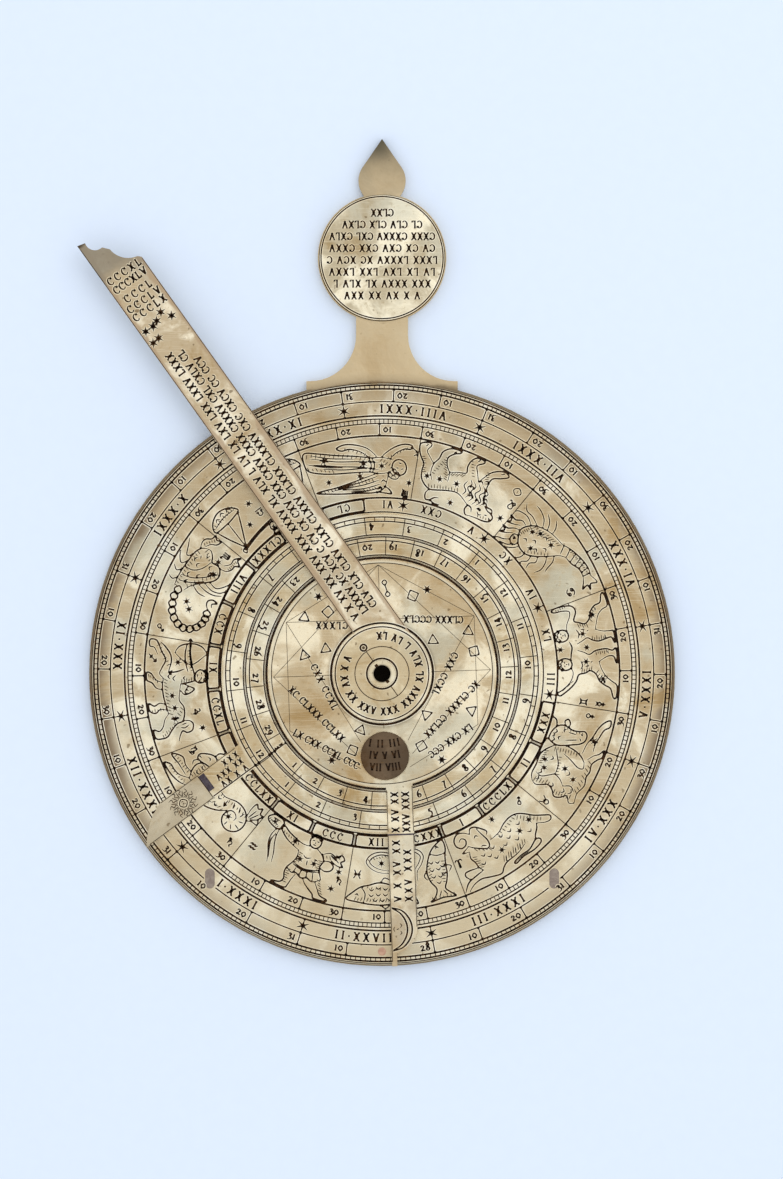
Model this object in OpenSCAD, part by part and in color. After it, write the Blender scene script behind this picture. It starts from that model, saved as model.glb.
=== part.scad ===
// Nocturnal dial: a brass night clock made of flat plates stacked on one hollow pivot.
// The dial lies on its back. The origin is on the pivot's axis, at the back face.
// +Z points up out of the dial's face, and +Y runs along the handle to its finial.

/* [Dial plates] */
// Diameter of the back plate
dial_d = 124; // [100:1:150]
// Thickness of the back plate and of the handle, which is one piece with it
back_t = 1.5; // [1.2:0.1:3]
// Ledge of the back plate that shows outside the calendar plate
calendar_ledge = 0.4; // [0.2:0.1:2]
// Thickness of the calendar plate
calendar_t = 1; // [0.6:0.1:2]
// Chamfer round the upper edge of each plate and disc
edge_chamfer = 0.2; // [0.1:0.05:0.3]

/* [Handle] */
// Width of the neck at its narrowest
neck_w = 11; // [7:0.5:14]
// Length of the neck, from the dial's rim to the round head
neck_len = 12.25; // [10:0.25:20]
// Radius of the curve on each side where the neck spreads into its foot
neck_fillet_r = 9.7; // [6:0.1:11]
// Height of the foot above the rim, at its square ends
foot_h = 1.9; // [1:0.1:3]
// Length of the straight step at each end of the foot
foot_step = 0.8; // [0.4:0.1:2]
// Diameter of the round head
head_d = 27.2; // [20:0.2:32]
// Border of the head that shows round the roundel
roundel_border = 0.5; // [0.3:0.1:2]
// Thickness of the roundel
roundel_t = 0.8; // [0.5:0.1:1.5]
// Diameter of the finial's bulb
finial_d = 10; // [7:0.2:14]
// Depth by which the bulb runs into the head
finial_sink = 2.2; // [1:0.1:3]
// Distance from the bulb's centre to the finial's point
finial_point = 8.8; // [7.5:0.1:14]

/* [Sun disc] */
// Diameter of the sun disc, which carries the hours
sun_d = 67.6; // [62:0.2:76]
// Thickness of the sun disc and its pointer
sun_t = 0.8; // [0.6:0.1:1.5]
// Width of the sun pointer
sun_pointer_w = 5.9; // [5.2:0.1:8]
// Length of the pointer's root, from the disc's edge to the mended joint
sun_root_len = 10.5; // [6:0.5:13]
// Length of the curved taper at the pointer's end
sun_taper_len = 8; // [6:0.5:9]
// Height of the taper's curve above its chord
sun_taper_bulge = 0.8; // [0.4:0.1:1.2]
// Direction of the sun pointer at rest, in degrees from +X
sun_turn = 216.5; // [0:0.5:360]
// Thickness of the dark ring let into the sun disc under the moon's window
phase_t = 0.3; // [0.2:0.05:0.4]
// Border of the dark ring that the window never shows
phase_border = 0.5; // [0.2:0.1:0.8]

/* [Moon disc] */
// Diameter of the moon disc, which carries the aspects
moon_d = 48.2; // [44:0.2:56]
// Thickness of the moon disc and its pointer
moon_t = 0.7; // [0.5:0.1:1.5]
// Diameter of the round window
window_d = 10.2; // [7:0.2:12]
// Width of metal left between the window and the disc's edge
window_rim = 1.6; // [1.2:0.1:3]
// Width of the moon pointer
moon_pointer_w = 5.6; // [4:0.1:8]
// Distance of the soldered break from the sun disc's edge, where the pointer leaves it
moon_break = 0.1; // [0:0.1:3]
// Width of the thin needle at the pointer's end
needle_w = 1.1; // [0.6:0.1:2]
// Length of the needle beyond the crescent
needle_len = 2.6; // [1.5:0.1:5]
// Direction of the moon pointer at rest, in degrees from +X
moon_turn = 272; // [0:0.5:360]

/* [Index arm] */
// Length of the index arm, from the pivot to its point
arm_len = 110.5; // [90:0.5:140]
// Width of the arm, measured from its straight edge
arm_w = 9.8; // [7:0.1:10]
// Thickness of the arm
arm_t = 0.9; // [0.6:0.1:2]
// Width of the blunt point at the arm's straight edge
nib_w = 1.7; // [1:0.1:2.5]
// Distance that the shaped end slopes back from the point to the far edge
tip_setback = 9; // [8:0.5:13]
// Length of the small scoop beside the point
small_scoop_len = 3.7; // [2.8:0.1:4.5]
// Length of the flat bump between the small scoop and the large one
bump_len = 1.7; // [1:0.1:2.4]
// Depth of the two scoops
scoop_depth = 1; // [0.6:0.1:1.3]
// Cut across the corner at the end of the arm's far edge
arm_corner_cut = 0.7; // [0.3:0.1:1]
// Diameter of the hub
hub_d = 20.7; // [20.3:0.1:24]
// Thickness of the hub disc
hub_t = 0.5; // [0.4:0.1:1]
// Diameter of the rivet that keys the hub disc to the arm
hub_rivet_d = 1.8; // [1:0.1:2.4]
// Direction of the arm's straight edge at rest, in degrees from +X
arm_turn = 125.5; // [0:0.5:360]

/* [Pivot] */
// Diameter of the sighting hole through the hollow screw
sight_d = 3.6; // [2.6:0.1:3.8]
// Diameter of the screw's shank, which the discs turn on
shank_d = 4.7; // [4.6:0.1:5.2]
// Diameter of the screw's head
screw_head_d = 5.6; // [5.5:0.1:6.2]
// Width of the two spanner notches in the head
notch_w = 0.7; // [0.4:0.1:1]
// Depth of the spanner notches
notch_depth = 0.3; // [0.2:0.05:0.4]
// Diameter of the round nut let into the back
nut_d = 9; // [7:0.2:12]
// Thickness of the nut
nut_t = 1; // [0.7:0.1:1.1]

/* [Fixings] */
// Width of the two tenons that hold the plates together
tenon_w = 2; // [1.2:0.1:3]
// Length of the tenons, which stand parallel to the handle
tenon_len = 4.2; // [3.2:0.1:6]
// Distance of the tenons from the dial's rim
tenon_inset = 5.4; // [4:0.1:8]
// Angle of each tenon from the dial's lower centre line
tenon_spread = 40; // [20:1:60]
// Diameter of the copper rivet at the bottom of the dial
rivet_d = 1.7; // [1:0.1:2.5]
// Distance of the copper rivet from the dial's rim
rivet_inset = 3.2; // [2.4:0.1:5]
// Width of the solder seam in the moon pointer
solder_w = 0.35; // [0.2:0.05:0.6]
// Length of the solder patch beside the sun pointer's mended joint
patch_len = 1.5; // [1.2:0.1:3]
// Width of the solder patch
patch_w = 3.9; // [2:0.1:4.5]
// Distance of the solder patch from the pointer's far edge
patch_inset = 0.4; // [0.3:0.1:0.8]
// Thickness of the solder patch
patch_t = 0.3; // [0.2:0.05:0.4]

/* [Clearances] */
// Radial clearance of a bore that turns on the shank
running_gap = 0.05; // [0.02:0.01:0.1]
// Gap between two plates that turn on each other
stack_gap = 0.05; // [0.03:0.01:0.1]
// Clearance round a piece that is seated for good
seat_gap = 0.02; // [0.01:0.01:0.05]
// Gap round the screw's head inside the hub disc
head_gap = 0.28; // [0.15:0.01:0.4]
// Distance by which the pointers stop short of the dial's rim
pointer_inset = 0.2; // [0:0.1:1]

/* [Hidden] */
$fn = 128;
cut = 0.5; // how far a cutting tool runs past the face that it cuts

dial_r = dial_d / 2;
calendar_r = dial_r - calendar_ledge;
pointer_reach = dial_r - pointer_inset;

// Heights in the stack, from the back face up
calendar_z = back_t;
sun_z = calendar_z + calendar_t + stack_gap;
moon_z = sun_z + sun_t + stack_gap;
arm_z = moon_z + moon_t + stack_gap;
hub_z = arm_z + arm_t;
screw_head_z = hub_z + stack_gap;

// Handle
head_r = head_d / 2;
head_y = dial_r + neck_len + head_r;
roundel_r = head_r - roundel_border;
finial_r = finial_d / 2;
finial_bite = 0.02; // how far the straight sides start inside the bulb
finial_y = head_y + head_r + finial_r - finial_sink;
fillet_x = neck_w / 2 + neck_fillet_r;
foot_x = fillet_x + foot_step;
foot_y = sqrt(dial_r * dial_r - foot_x * foot_x) + foot_h;
fillet_y = foot_y + neck_fillet_r;

// Pivot
shank_r = shank_d / 2;
bore_r = shank_r + running_gap;
fixed_bore_r = shank_r + seat_gap;
screw_head_r = screw_head_d / 2;
hub_bore_r = screw_head_r + head_gap;

// Discs and pointers
sun_r = sun_d / 2;
sun_joint = sun_r + sun_root_len;
sun_taper_start = pointer_reach - sun_taper_len;
moon_r = moon_d / 2;
moon_joint = sun_r + moon_break;
window_r = window_d / 2;
window_x = moon_r - window_rim - window_r;
crescent_x = pointer_reach - needle_len - moon_pointer_w;
hub_r = hub_d / 2;
hub_rivet_r = hub_rivet_d / 2;
hub_rivet_x = (hub_r + hub_bore_r) / 2;
phase_inner_r = window_x - window_r - phase_border;
phase_outer_r = window_x + window_r + phase_border;

// Fixings
tenon_r = dial_r - tenon_inset;
tenon_places = [for (side = [-1, 1]) [side * tenon_r * sin(tenon_spread), -tenon_r * cos(tenon_spread)]];
rivet_y = rivet_inset - dial_r;
rivet_r = rivet_d / 2;

brass = [0.80, 0.72, 0.57];
pale_brass = [0.84, 0.77, 0.62];
dull_brass = [0.70, 0.65, 0.54];
dark_brass = [0.36, 0.29, 0.22];
steel = [0.45, 0.42, 0.40];
solder = [0.36, 0.33, 0.36];
copper = [0.70, 0.53, 0.44];

// Shared shapes

// A round plate with its upper edge chamfered
module round_plate(r, t) {
  cylinder(h = t - edge_chamfer, r = r);
  translate([0, 0, t - edge_chamfer]) cylinder(h = edge_chamfer, r1 = r, r2 = r - edge_chamfer);
}

// A straight hole along Z, cut from z to z + depth
module drill(r, z, depth) {
  translate([0, 0, z - cut]) cylinder(h = depth + 2 * cut, r = r);
}

// A flat strip along +X, from x0 to x1, with one edge on the X axis and its width on the -Y side
module strip(x0, x1, w) {
  translate([x0, -w]) square([x1 - x0, w]);
}

// Circle through p and q that hollows the straight side between them, to the left of p to q
module scoop(p, q, depth) {
  chord = norm(q - p);
  r = (chord * chord / 4 + depth * depth) / (2 * depth);
  along = (q - p) / chord;
  outward = [along[1], -along[0]];
  translate((p + q) / 2 + outward * (r - depth)) circle(r);
}

// Upright slot or bar with round ends, standing parallel to the handle
module tenon_outline(grow) {
  half = (tenon_len - tenon_w) / 2;
  r = tenon_w / 2 + grow;
  translate([-r, -half]) square([2 * r, 2 * half]);
  for (end = [-half, half]) translate([0, end]) circle(r);
}

// Base: the plates that stay still

module handle_outline() {
  foot_root_y = dial_r / 2;
  difference() {
    translate([-foot_x, foot_root_y]) square([2 * foot_x, fillet_y - foot_root_y]);
    for (side = [-1, 1]) {
      translate([side * fillet_x, fillet_y]) circle(neck_fillet_r);
      translate([side * (fillet_x + foot_step), fillet_y]) square([2 * foot_step, 2 * neck_fillet_r], center = true);
    }
  }
  translate([-neck_w / 2, foot_root_y]) square([neck_w, head_y - foot_root_y]);
  translate([0, head_y]) circle(head_r);
  translate([0, finial_y]) finial_outline();
}

// Teardrop: a bulb with two straight sides that run from just inside it to a point
module finial_outline() {
  lean = acos(finial_r / finial_point);
  side = (finial_r - finial_bite) * [sin(lean), cos(lean)];
  circle(finial_r);
  polygon([[0, finial_point], side, [0, 0], [-side[0], side[1]]]);
}

module plate_fixing_holes(z, t) {
  translate([0, 0, z - cut]) {
    for (place = tenon_places) translate(place)
      linear_extrude(t + 2 * cut) tenon_outline(seat_gap);
    translate([0, rivet_y]) cylinder(h = t + 2 * cut, r = rivet_r + seat_gap);
  }
}

module back_plate() color(brass) difference() {
  union() {
    round_plate(dial_r, back_t);
    linear_extrude(back_t) handle_outline();
  }
  drill(fixed_bore_r, 0, back_t);
  translate([0, 0, -cut]) cylinder(h = nut_t + seat_gap + cut, r = nut_d / 2 + seat_gap);
  plate_fixing_holes(0, back_t);
}

module calendar_plate() color(brass) translate([0, 0, calendar_z]) difference() {
  round_plate(calendar_r, calendar_t);
  drill(fixed_bore_r, 0, calendar_t);
  plate_fixing_holes(0, calendar_t);
}

module handle_roundel() color(brass)
  translate([0, head_y, back_t]) round_plate(roundel_r, roundel_t);

module plate_tenons() color(steel)
  for (place = tenon_places) translate(place)
    linear_extrude(calendar_z + calendar_t) tenon_outline(0);

module plate_rivet() color(copper)
  translate([0, rivet_y]) cylinder(h = calendar_z + calendar_t, r = rivet_r);

// Hollow screw: the discs turn on its shank, and its head holds them down
module pivot_screw() color(pale_brass) difference() {
  union() {
    cylinder(h = screw_head_z + hub_t / 2, r = shank_r);
    translate([0, 0, screw_head_z]) cylinder(h = hub_t, r = screw_head_r);
  }
  drill(sight_d / 2, 0, screw_head_z + hub_t);
  rotate(arm_turn) translate([-shank_r, -notch_w / 2, screw_head_z + hub_t - notch_depth])
    cube([shank_d, notch_w, notch_depth + cut]);
}

module pivot_nut() color(brass) difference() {
  cylinder(h = nut_t, r = nut_d / 2);
  drill(fixed_bore_r, 0, nut_t);
  for (side = [-1, 1]) translate([side * nut_d / 2, 0, 0])
    cube([nut_d / 4, notch_w, 2 * notch_depth], center = true);
}

// Sun disc and its pointer

module sun_frame() translate([0, 0, sun_z]) rotate(sun_turn) children();

module sun_disc() color(pale_brass) sun_frame() difference() {
  union() {
    round_plate(sun_r, sun_t);
    linear_extrude(sun_t) strip(sun_r / 2, sun_joint, sun_pointer_w);
  }
  drill(bore_r, 0, sun_t);
  translate([0, 0, sun_t - phase_t]) difference() {
    cylinder(h = phase_t + cut, r = phase_outer_r + seat_gap);
    drill(phase_inner_r - seat_gap, 0, phase_t);
  }
  translate([sun_joint - patch_len - seat_gap, patch_y() - seat_gap, sun_t - patch_t])
    cube([patch_len + 2 * seat_gap, patch_w + 2 * seat_gap, patch_t + cut]);
}

// Side of the solder patch that lies near the pointer's far edge
function patch_y() = patch_inset - sun_pointer_w;

module phase_ring() color(dark_brass) sun_frame()
  translate([0, 0, sun_t - phase_t]) difference() {
    cylinder(h = phase_t, r = phase_outer_r);
    drill(phase_inner_r, 0, phase_t);
  }

// The waste cut away from the pointer's end, outside an arc from its far edge to its point
module sun_taper_waste() {
  shoulder = [sun_taper_start, -sun_pointer_w];
  point = [pointer_reach, 0];
  chord = norm(point - shoulder);
  arc_r = (chord * chord / 4 + sun_taper_bulge * sun_taper_bulge) / (2 * sun_taper_bulge);
  along = (point - shoulder) / chord;
  inward = [-along[1], along[0]];
  difference() {
    polygon([shoulder, [pointer_reach + cut, -sun_pointer_w - cut], point]);
    translate((point + shoulder) / 2 + inward * (arc_r - sun_taper_bulge)) circle(arc_r);
  }
}

module sun_pointer_tip() color(dull_brass) sun_frame() linear_extrude(sun_t) difference() {
  strip(sun_joint, pointer_reach, sun_pointer_w);
  sun_taper_waste();
}

module sun_pointer_solder() color(solder) sun_frame()
  translate([sun_joint - patch_len, patch_y(), sun_t - patch_t]) cube([patch_len, patch_w, patch_t]);

// Moon disc and its pointer, whose width lies on the other side of its straight edge

module moon_frame() translate([0, 0, moon_z]) rotate(moon_turn) children();

module moon_disc() color(brass) moon_frame() difference() {
  union() {
    round_plate(moon_r, moon_t);
    linear_extrude(moon_t) mirror([0, 1]) strip(moon_r / 2, moon_joint, moon_pointer_w);
  }
  drill(bore_r, 0, moon_t);
  translate([window_x, 0, 0]) {
    drill(window_r, 0, moon_t);
    translate([0, 0, moon_t - edge_chamfer])
      cylinder(h = 2 * edge_chamfer, r1 = window_r, r2 = window_r + 2 * edge_chamfer);
  }
}

// The waste cut away from the pointer's end, outside its crescent and beside its needle
module crescent_waste() difference() {
  translate([crescent_x, -moon_pointer_w - cut])
    square([pointer_reach + cut - crescent_x, moon_pointer_w + cut - needle_w]);
  translate([crescent_x, 0]) circle(moon_pointer_w);
}

module moon_pointer_tip() color(dull_brass) moon_frame() linear_extrude(moon_t)
  mirror([0, 1]) difference() {
    strip(moon_joint + solder_w, pointer_reach, moon_pointer_w);
    crescent_waste();
  }

module moon_pointer_solder() color(solder) moon_frame() linear_extrude(moon_t)
  mirror([0, 1]) strip(moon_joint, moon_joint + solder_w, moon_pointer_w);

// Index arm and its hub

module arm_frame(z) translate([0, 0, z]) rotate(arm_turn) children();

module arm_outline() {
  nib = [arm_len - nib_w / 4, -nib_w];
  shoulder = [arm_len - tip_setback, arm_corner_cut - arm_w];
  slope = (shoulder - nib) / norm(shoulder - nib);
  bump = nib + slope * small_scoop_len;
  difference() {
    polygon([[0, 0], [arm_len, 0], nib, shoulder, [shoulder[0] - arm_corner_cut, -arm_w], [0, -arm_w]]);
    scoop(bump, nib, scoop_depth);
    scoop(shoulder, bump + slope * bump_len, scoop_depth);
  }
}

module index_arm() color(pale_brass) arm_frame(arm_z) difference() {
  union() {
    cylinder(h = arm_t, r = hub_r);
    linear_extrude(arm_t) arm_outline();
  }
  drill(bore_r, 0, arm_t);
  translate([hub_rivet_x, 0]) drill(hub_rivet_r + seat_gap, 0, arm_t);
}

module hub_disc() color(pale_brass) arm_frame(hub_z) difference() {
  round_plate(hub_r, hub_t);
  drill(hub_bore_r, 0, hub_t);
  translate([hub_rivet_x, 0]) drill(hub_rivet_r + seat_gap, 0, hub_t);
}

module hub_rivet() color(steel) arm_frame(arm_z)
  translate([hub_rivet_x, 0]) cylinder(h = arm_t + hub_t, r = hub_rivet_r);

back_plate();
calendar_plate();
handle_roundel();
plate_tenons();
plate_rivet();
pivot_screw();
pivot_nut();
sun_disc();
phase_ring();
sun_pointer_tip();
sun_pointer_solder();
moon_disc();
moon_pointer_tip();
moon_pointer_solder();
index_arm();
hub_disc();
hub_rivet();
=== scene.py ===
import math

import bpy
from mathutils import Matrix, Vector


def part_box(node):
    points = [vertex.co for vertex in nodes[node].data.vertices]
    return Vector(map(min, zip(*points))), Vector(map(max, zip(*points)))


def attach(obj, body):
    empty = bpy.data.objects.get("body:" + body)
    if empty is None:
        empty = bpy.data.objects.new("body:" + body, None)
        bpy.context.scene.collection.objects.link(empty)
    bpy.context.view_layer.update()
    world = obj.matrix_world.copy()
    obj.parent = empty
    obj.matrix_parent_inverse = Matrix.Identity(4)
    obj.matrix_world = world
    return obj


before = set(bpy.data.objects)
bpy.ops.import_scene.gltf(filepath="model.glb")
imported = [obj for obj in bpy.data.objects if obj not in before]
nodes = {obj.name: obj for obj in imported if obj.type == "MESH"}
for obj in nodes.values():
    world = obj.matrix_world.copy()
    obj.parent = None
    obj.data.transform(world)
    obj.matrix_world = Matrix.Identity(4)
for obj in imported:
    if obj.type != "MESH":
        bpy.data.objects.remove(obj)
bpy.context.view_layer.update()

# Units: sizes in this script are millimetres, and Blender works in metres.
MM = 0.001

# Rest directions of the three turning plates, in degrees from +X.
SUN_TURN = 216.5
MOON_TURN = 272.0
ARM_TURN = 125.5

# Radii of the rings on the calendar plate, from the sun disc's edge outwards.
PANEL_IN = 34.5
PANEL_OUT = 36.9
FIGURES_IN = 37.1
FIGURES_OUT = 50.2
DEGREE_TICKS_IN = 52.8
DEGREE_TICKS_OUT = 53.7
MONTHS_IN = 54.4
MONTHS_OUT = 57.4
DAY_TICKS_IN = 60.1
DAY_TICKS_OUT = 60.9
RIM_LINE_R = 61.3

# Radii of the rings on the sun disc.
AGES_IN = 25.0
AGES_OUT = 28.0
AGE_TICKS_OUT = 28.8
HOURS_IN = 29.3
HOURS_OUT = 32.1
HOUR_TICKS_OUT = 33.0

# Where the scales start: the first day of the year and the first degree of the zodiac.
YEAR_START = 220.6
ZODIAC_START = 290.6
# Days stand closer in summer, when the sun goes slower: its sway in degrees, and its fastest day.
SUN_SWAY = 2.1
FASTEST_DAY = -11
MONTH_DAYS = (31, 28, 31, 30, 31, 30, 31, 31, 30, 31, 30, 31)

# A sign's stretch of the zodiac in degrees, the stretch whose names have no frames, and the radius at a
# figure's middle.
SIGN_TURN = 30
PLAIN_FROM = 60
PLAIN_TO = 165
FIGURE_RADIUS = 43.6

# Dark lines under the edges of the sun disc and of the moon disc.
PLATE_SHADOW_R = 34.1
DISC_SHADOW_R = 24.4

# Days of a moon's age, and the moon's window: its place on the disc and the circle that lines stop at.
MOON_AGE = 29.5
WINDOW_X = 17.4
WINDOW_CLEAR = 5.7

# The pointers: where their roots end, their widths and where their far sides end.
SUN_ROOT = 44.0
SUN_POINTER_W = 5.9
SUN_TAPER = 53.8
MOON_ROOT = 33.6
MOON_POINTER_W = 5.6
CRESCENT_X = 53.6

# The arm: its width and where its two sides end. Dark lines of painted edge shade along sides stand a little
# in from them.
ARM_W = 9.8
ARM_SHOULDER = 100.5
ARM_TIP = 109.5
EDGE_IN = 0.12

# The hub: its rivet, the dark line of painted shadow round it and the circle that the moon disc's lines stop
# at.
# The roundel has dark lines at one distance inside and outside its edge, painted shade of its raised edge.
HUB_RIVET_X = 6.7
HUB_SHADOW_R = 10.75
HUB_CLEAR = 10.3
ROUNDEL_LINE = 0.2

# The pivot screw's spanner notches: their two ends, width and depth.
NOTCH_IN = 1.8
NOTCH_OUT = 2.33
NOTCH_W = 0.66
NOTCH_DEPTH = 0.3

# Circles round the grey tenons and the copper rivet, which the calendar's lines stop at.
TENON_X = 36.4
TENON_Y = -43.4
TENON_CLEAR = 1.05
TENON_STEPS = (-1.1, 0, 1.1)
RIVET_Y = -58.8
RIVET_CLEAR = 1.3
FIXINGS = [((side * TENON_X, TENON_Y + step), TENON_CLEAR) for side in (-1, 1) for step in TENON_STEPS]
FIXINGS.append(((0, RIVET_Y), RIVET_CLEAR))

# Widths of engraved lines and of lines of painted edge shade, the burr along them painted bright as a
# highlight, and their heights above and below the face.
HEAVY = 0.5
BOLD = 0.4
OUTLINE = 0.34
MEDIUM = 0.28
DETAIL = 0.26
FINE = 0.18
HATCH = 0.17
EDGE_SHADE = 0.14
HAIR = 0.1
BURR_HIGHLIGHT = 0.15
PROUD = 0.014
BURR_HIGHLIGHT_PROUD = 0.007
DEEP = 0.03

# Heights of the engraved numbers.
DEGREE_TEXT = 1.55
DAY_TEXT = 1.6
MONTH_TEXT = 1.75
NAME_TEXT = 1.5
RING_TEXT = 1.6
HALF_TEXT = 1.1
SUN_ROW_TEXT = 1.25
ASPECT_TEXT = 1.45
ROW_TEXT = 1.5
ARM_TEXT = 1.6
HUB_TEXT = 1.55


# Colour and shader helpers

def srgb(red, green, blue):
    """A linear colour from the 0 to 255 values that a picture shows."""
    def linear(value):
        value /= 255
        return value / 12.92 if value <= 0.04045 else ((value + 0.055) / 1.055) ** 2.4
    return (linear(red), linear(green), linear(blue), 1.0)


class Shader:
    """A node material on one principled shader, with short calls that add and link nodes."""

    # Places of a mix node's colour sockets
    MIX_FIRST = 6
    MIX_SECOND = 7
    MIX_RESULT = 2

    def __init__(self, name, metallic, roughness):
        self.material = bpy.data.materials.new(name)
        self.material.use_nodes = True
        self.tree = self.material.node_tree
        self.surface = self.tree.nodes["Principled BSDF"]
        self.feed("Metallic", metallic)
        self.feed("Roughness", roughness)
        coordinates = self.tree.nodes.new("ShaderNodeTexCoord")
        self.place = self.mapped(coordinates.outputs["Object"], (1 / MM,) * 3)

    def put(self, socket, value):
        """Links a socket to another node's output, or sets its constant."""
        if isinstance(value, bpy.types.NodeSocket):
            self.tree.links.new(value, socket)
        else:
            socket.default_value = value

    def feed(self, name, value):
        """Links or sets one input of the surface."""
        self.put(self.surface.inputs[name], value)

    def mapped(self, vector, scale, turn=0.0):
        node = self.tree.nodes.new("ShaderNodeMapping")
        self.put(node.inputs["Vector"], vector)
        node.inputs["Rotation"].default_value = (0, 0, math.radians(turn))
        node.inputs["Scale"].default_value = scale
        return node.outputs["Vector"]

    def noise(self, scale, detail=3.0, rough=0.55, vector=None, distort=0.0):
        node = self.tree.nodes.new("ShaderNodeTexNoise")
        self.put(node.inputs["Vector"], vector or self.place)
        node.inputs["Scale"].default_value = scale
        node.inputs["Detail"].default_value = detail
        node.inputs["Roughness"].default_value = rough
        node.inputs["Distortion"].default_value = distort
        return node.outputs["Fac"]

    def span(self, value, low, high, start=0.0, end=1.0):
        """Maps low..high to start..end, and holds the ends."""
        node = self.tree.nodes.new("ShaderNodeMapRange")
        node.interpolation_type = "SMOOTHSTEP"
        for name, number in (("From Min", low), ("From Max", high), ("To Min", start), ("To Max", end)):
            node.inputs[name].default_value = number
        self.put(node.inputs["Value"], value)
        return node.outputs["Result"]

    def math(self, operation, first, second):
        node = self.tree.nodes.new("ShaderNodeMath")
        node.operation = operation
        self.put(node.inputs[0], first)
        self.put(node.inputs[1], second)
        return node.outputs["Value"]

    def blend(self, amount, first, second, mode="MIX"):
        node = self.tree.nodes.new("ShaderNodeMix")
        node.data_type = "RGBA"
        node.blend_type = mode
        self.put(node.inputs["Factor"], amount)
        self.put(node.inputs[self.MIX_FIRST], first)
        self.put(node.inputs[self.MIX_SECOND], second)
        return node.outputs[self.MIX_RESULT]

    def distance(self, axes):
        """Distance from the origin along the axes marked 1, in millimetres."""
        length = self.tree.nodes.new("ShaderNodeVectorMath")
        length.operation = "LENGTH"
        self.put(length.inputs[0], self.mapped(self.place, axes))
        return length.outputs["Value"]

    def along(self, direction):
        """Distance from the pivot's axis along a direction in degrees, in millimetres."""
        node = self.tree.nodes.new("ShaderNodeVectorMath")
        node.operation = "DOT_PRODUCT"
        self.put(node.inputs[0], self.place)
        node.inputs[1].default_value = (*polar(1, direction), 0)
        return node.outputs["Value"]

    def bump(self, height, distance):
        node = self.tree.nodes.new("ShaderNodeBump")
        node.inputs["Distance"].default_value = distance * MM
        self.put(node.inputs["Height"], height)
        self.feed("Normal", node.outputs["Normal"])


# Dark tone for rings beside the edges of raised discs and inside the screw's bore: dirt, and painted shade
# where those edges and the bore cast shade.
GRIME_AND_SHADE = srgb(46, 34, 22)
# Dark brown for the rims of the plates: dirt, and painted shade along their edges and at the neck's root
# under the calendar plate's edge.
RIM_GRIME_AND_SHADE = srgb(62, 48, 34)
# A pale tone: a painted highlight on the hub's bevelled edge, and a lighter band over the calendar's degree
# ladder.
POLISH_AND_HIGHLIGHT = srgb(240, 236, 222)

# How fine the brass's noises are, per millimetre, and the directions and strengths of its polishing streaks
CLOUD_SCALE = 0.085
SPOT_SCALE = 0.75
SPECKLE_SCALE = 1.1
GRAIN_SCALE = 4.0
STREAKS = ((17, 0.3), (-52, 0.25), (81, 0.2))


def old_brass(name, tan, cream_and_sheen, grey, rub=0.5, rings=(), rim=None, shades=()):
    """Rubbed, cloudy brass. Its cream tone, for pale clouds and polishing streaks, is partly pale patina and
    partly painted sheen. rings lists round bands by their inner and outer radius and tone, rim is where the
    edge turns brown, and shades lists a direction in degrees, the distances along it between which the metal
    turns to a tone, the tone and how far it goes."""
    shader = Shader(name, metallic=0.95, roughness=0.42)
    clouds = shader.noise(CLOUD_SCALE, detail=5, rough=0.6, distort=0.6)
    aside = shader.mapped(shader.place, (1, 1, 1), 40)
    patches = shader.noise(CLOUD_SCALE, detail=4, rough=0.5, vector=aside)
    speckle = shader.noise(SPECKLE_SCALE, detail=4, rough=0.7)
    grain = shader.noise(GRAIN_SCALE, detail=2, rough=0.6)
    brown = shader.blend(1.0, tan, srgb(222, 206, 178), "MULTIPLY")
    colour = shader.blend(shader.span(clouds, 0.3, 0.47), brown, tan)
    # Pale clouds: patina, and painted sheen.
    colour = shader.blend(shader.span(clouds, 0.48, 0.62, end=0.95), colour, cream_and_sheen)
    colour = shader.blend(shader.span(patches, 0.5, 0.66, end=rub), colour, grey)
    colour = shader.blend(shader.span(speckle, 0.52, 0.8, end=0.6), colour, brown)
    for turn, strength in STREAKS:
        streak = shader.noise(1.0, detail=2, vector=shader.mapped(shader.place, (0.12, 6.0, 1), turn))
        colour = shader.blend(shader.span(streak, 0.62, 0.7, end=strength), colour, cream_and_sheen)
    spots = shader.noise(SPOT_SCALE, detail=1, vector=shader.mapped(shader.place, (1, 1, 1), 25))
    colour = shader.blend(shader.span(spots, 0.71, 0.77, end=0.65), colour, srgb(112, 90, 60))
    radius = shader.distance((1, 1, 0))
    for inner, outer, tone in rings:
        rise = shader.span(radius, inner - 0.1, inner)
        fall = shader.span(radius, inner, outer, 0.85, 0.0)
        colour = shader.blend(shader.math("MULTIPLY", rise, fall), colour, tone)
    if rim:
        uneven = shader.math("ADD", radius, shader.span(clouds, 0.3, 0.7, -1.0, 1.2))
        sides = shader.span(shader.math("ABSOLUTE", shader.along(0), 0.0), 15, 52, 0.35, 1.0)
        edge = shader.math("MULTIPLY", shader.span(uneven, rim, rim + 3.5, end=0.95), sides)
        colour = shader.blend(edge, colour, srgb(128, 108, 84))
    for direction, near, far, tone, strength in shades:
        ragged = min(2.0, far - near)
        uneven = shader.math("ADD", shader.along(direction), shader.span(patches, 0.3, 0.7, -ragged, ragged))
        colour = shader.blend(shader.span(uneven, near, far, end=strength), colour, tone)
    shader.feed("Base Color", colour)
    fine_rough = shader.span(grain, 0.3, 0.7, -0.03, 0.05)
    rough = shader.math("ADD", shader.span(speckle, 0.3, 0.75, 0.34, 0.5), fine_rough)
    shader.feed("Roughness", rough)
    height = shader.math("ADD", shader.math("MULTIPLY", clouds, 3.0), shader.math("MULTIPLY", speckle, 0.25))
    height = shader.math("ADD", height, shader.math("MULTIPLY", grain, 0.05))
    shader.bump(height, 0.06)
    return shader.material


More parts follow.
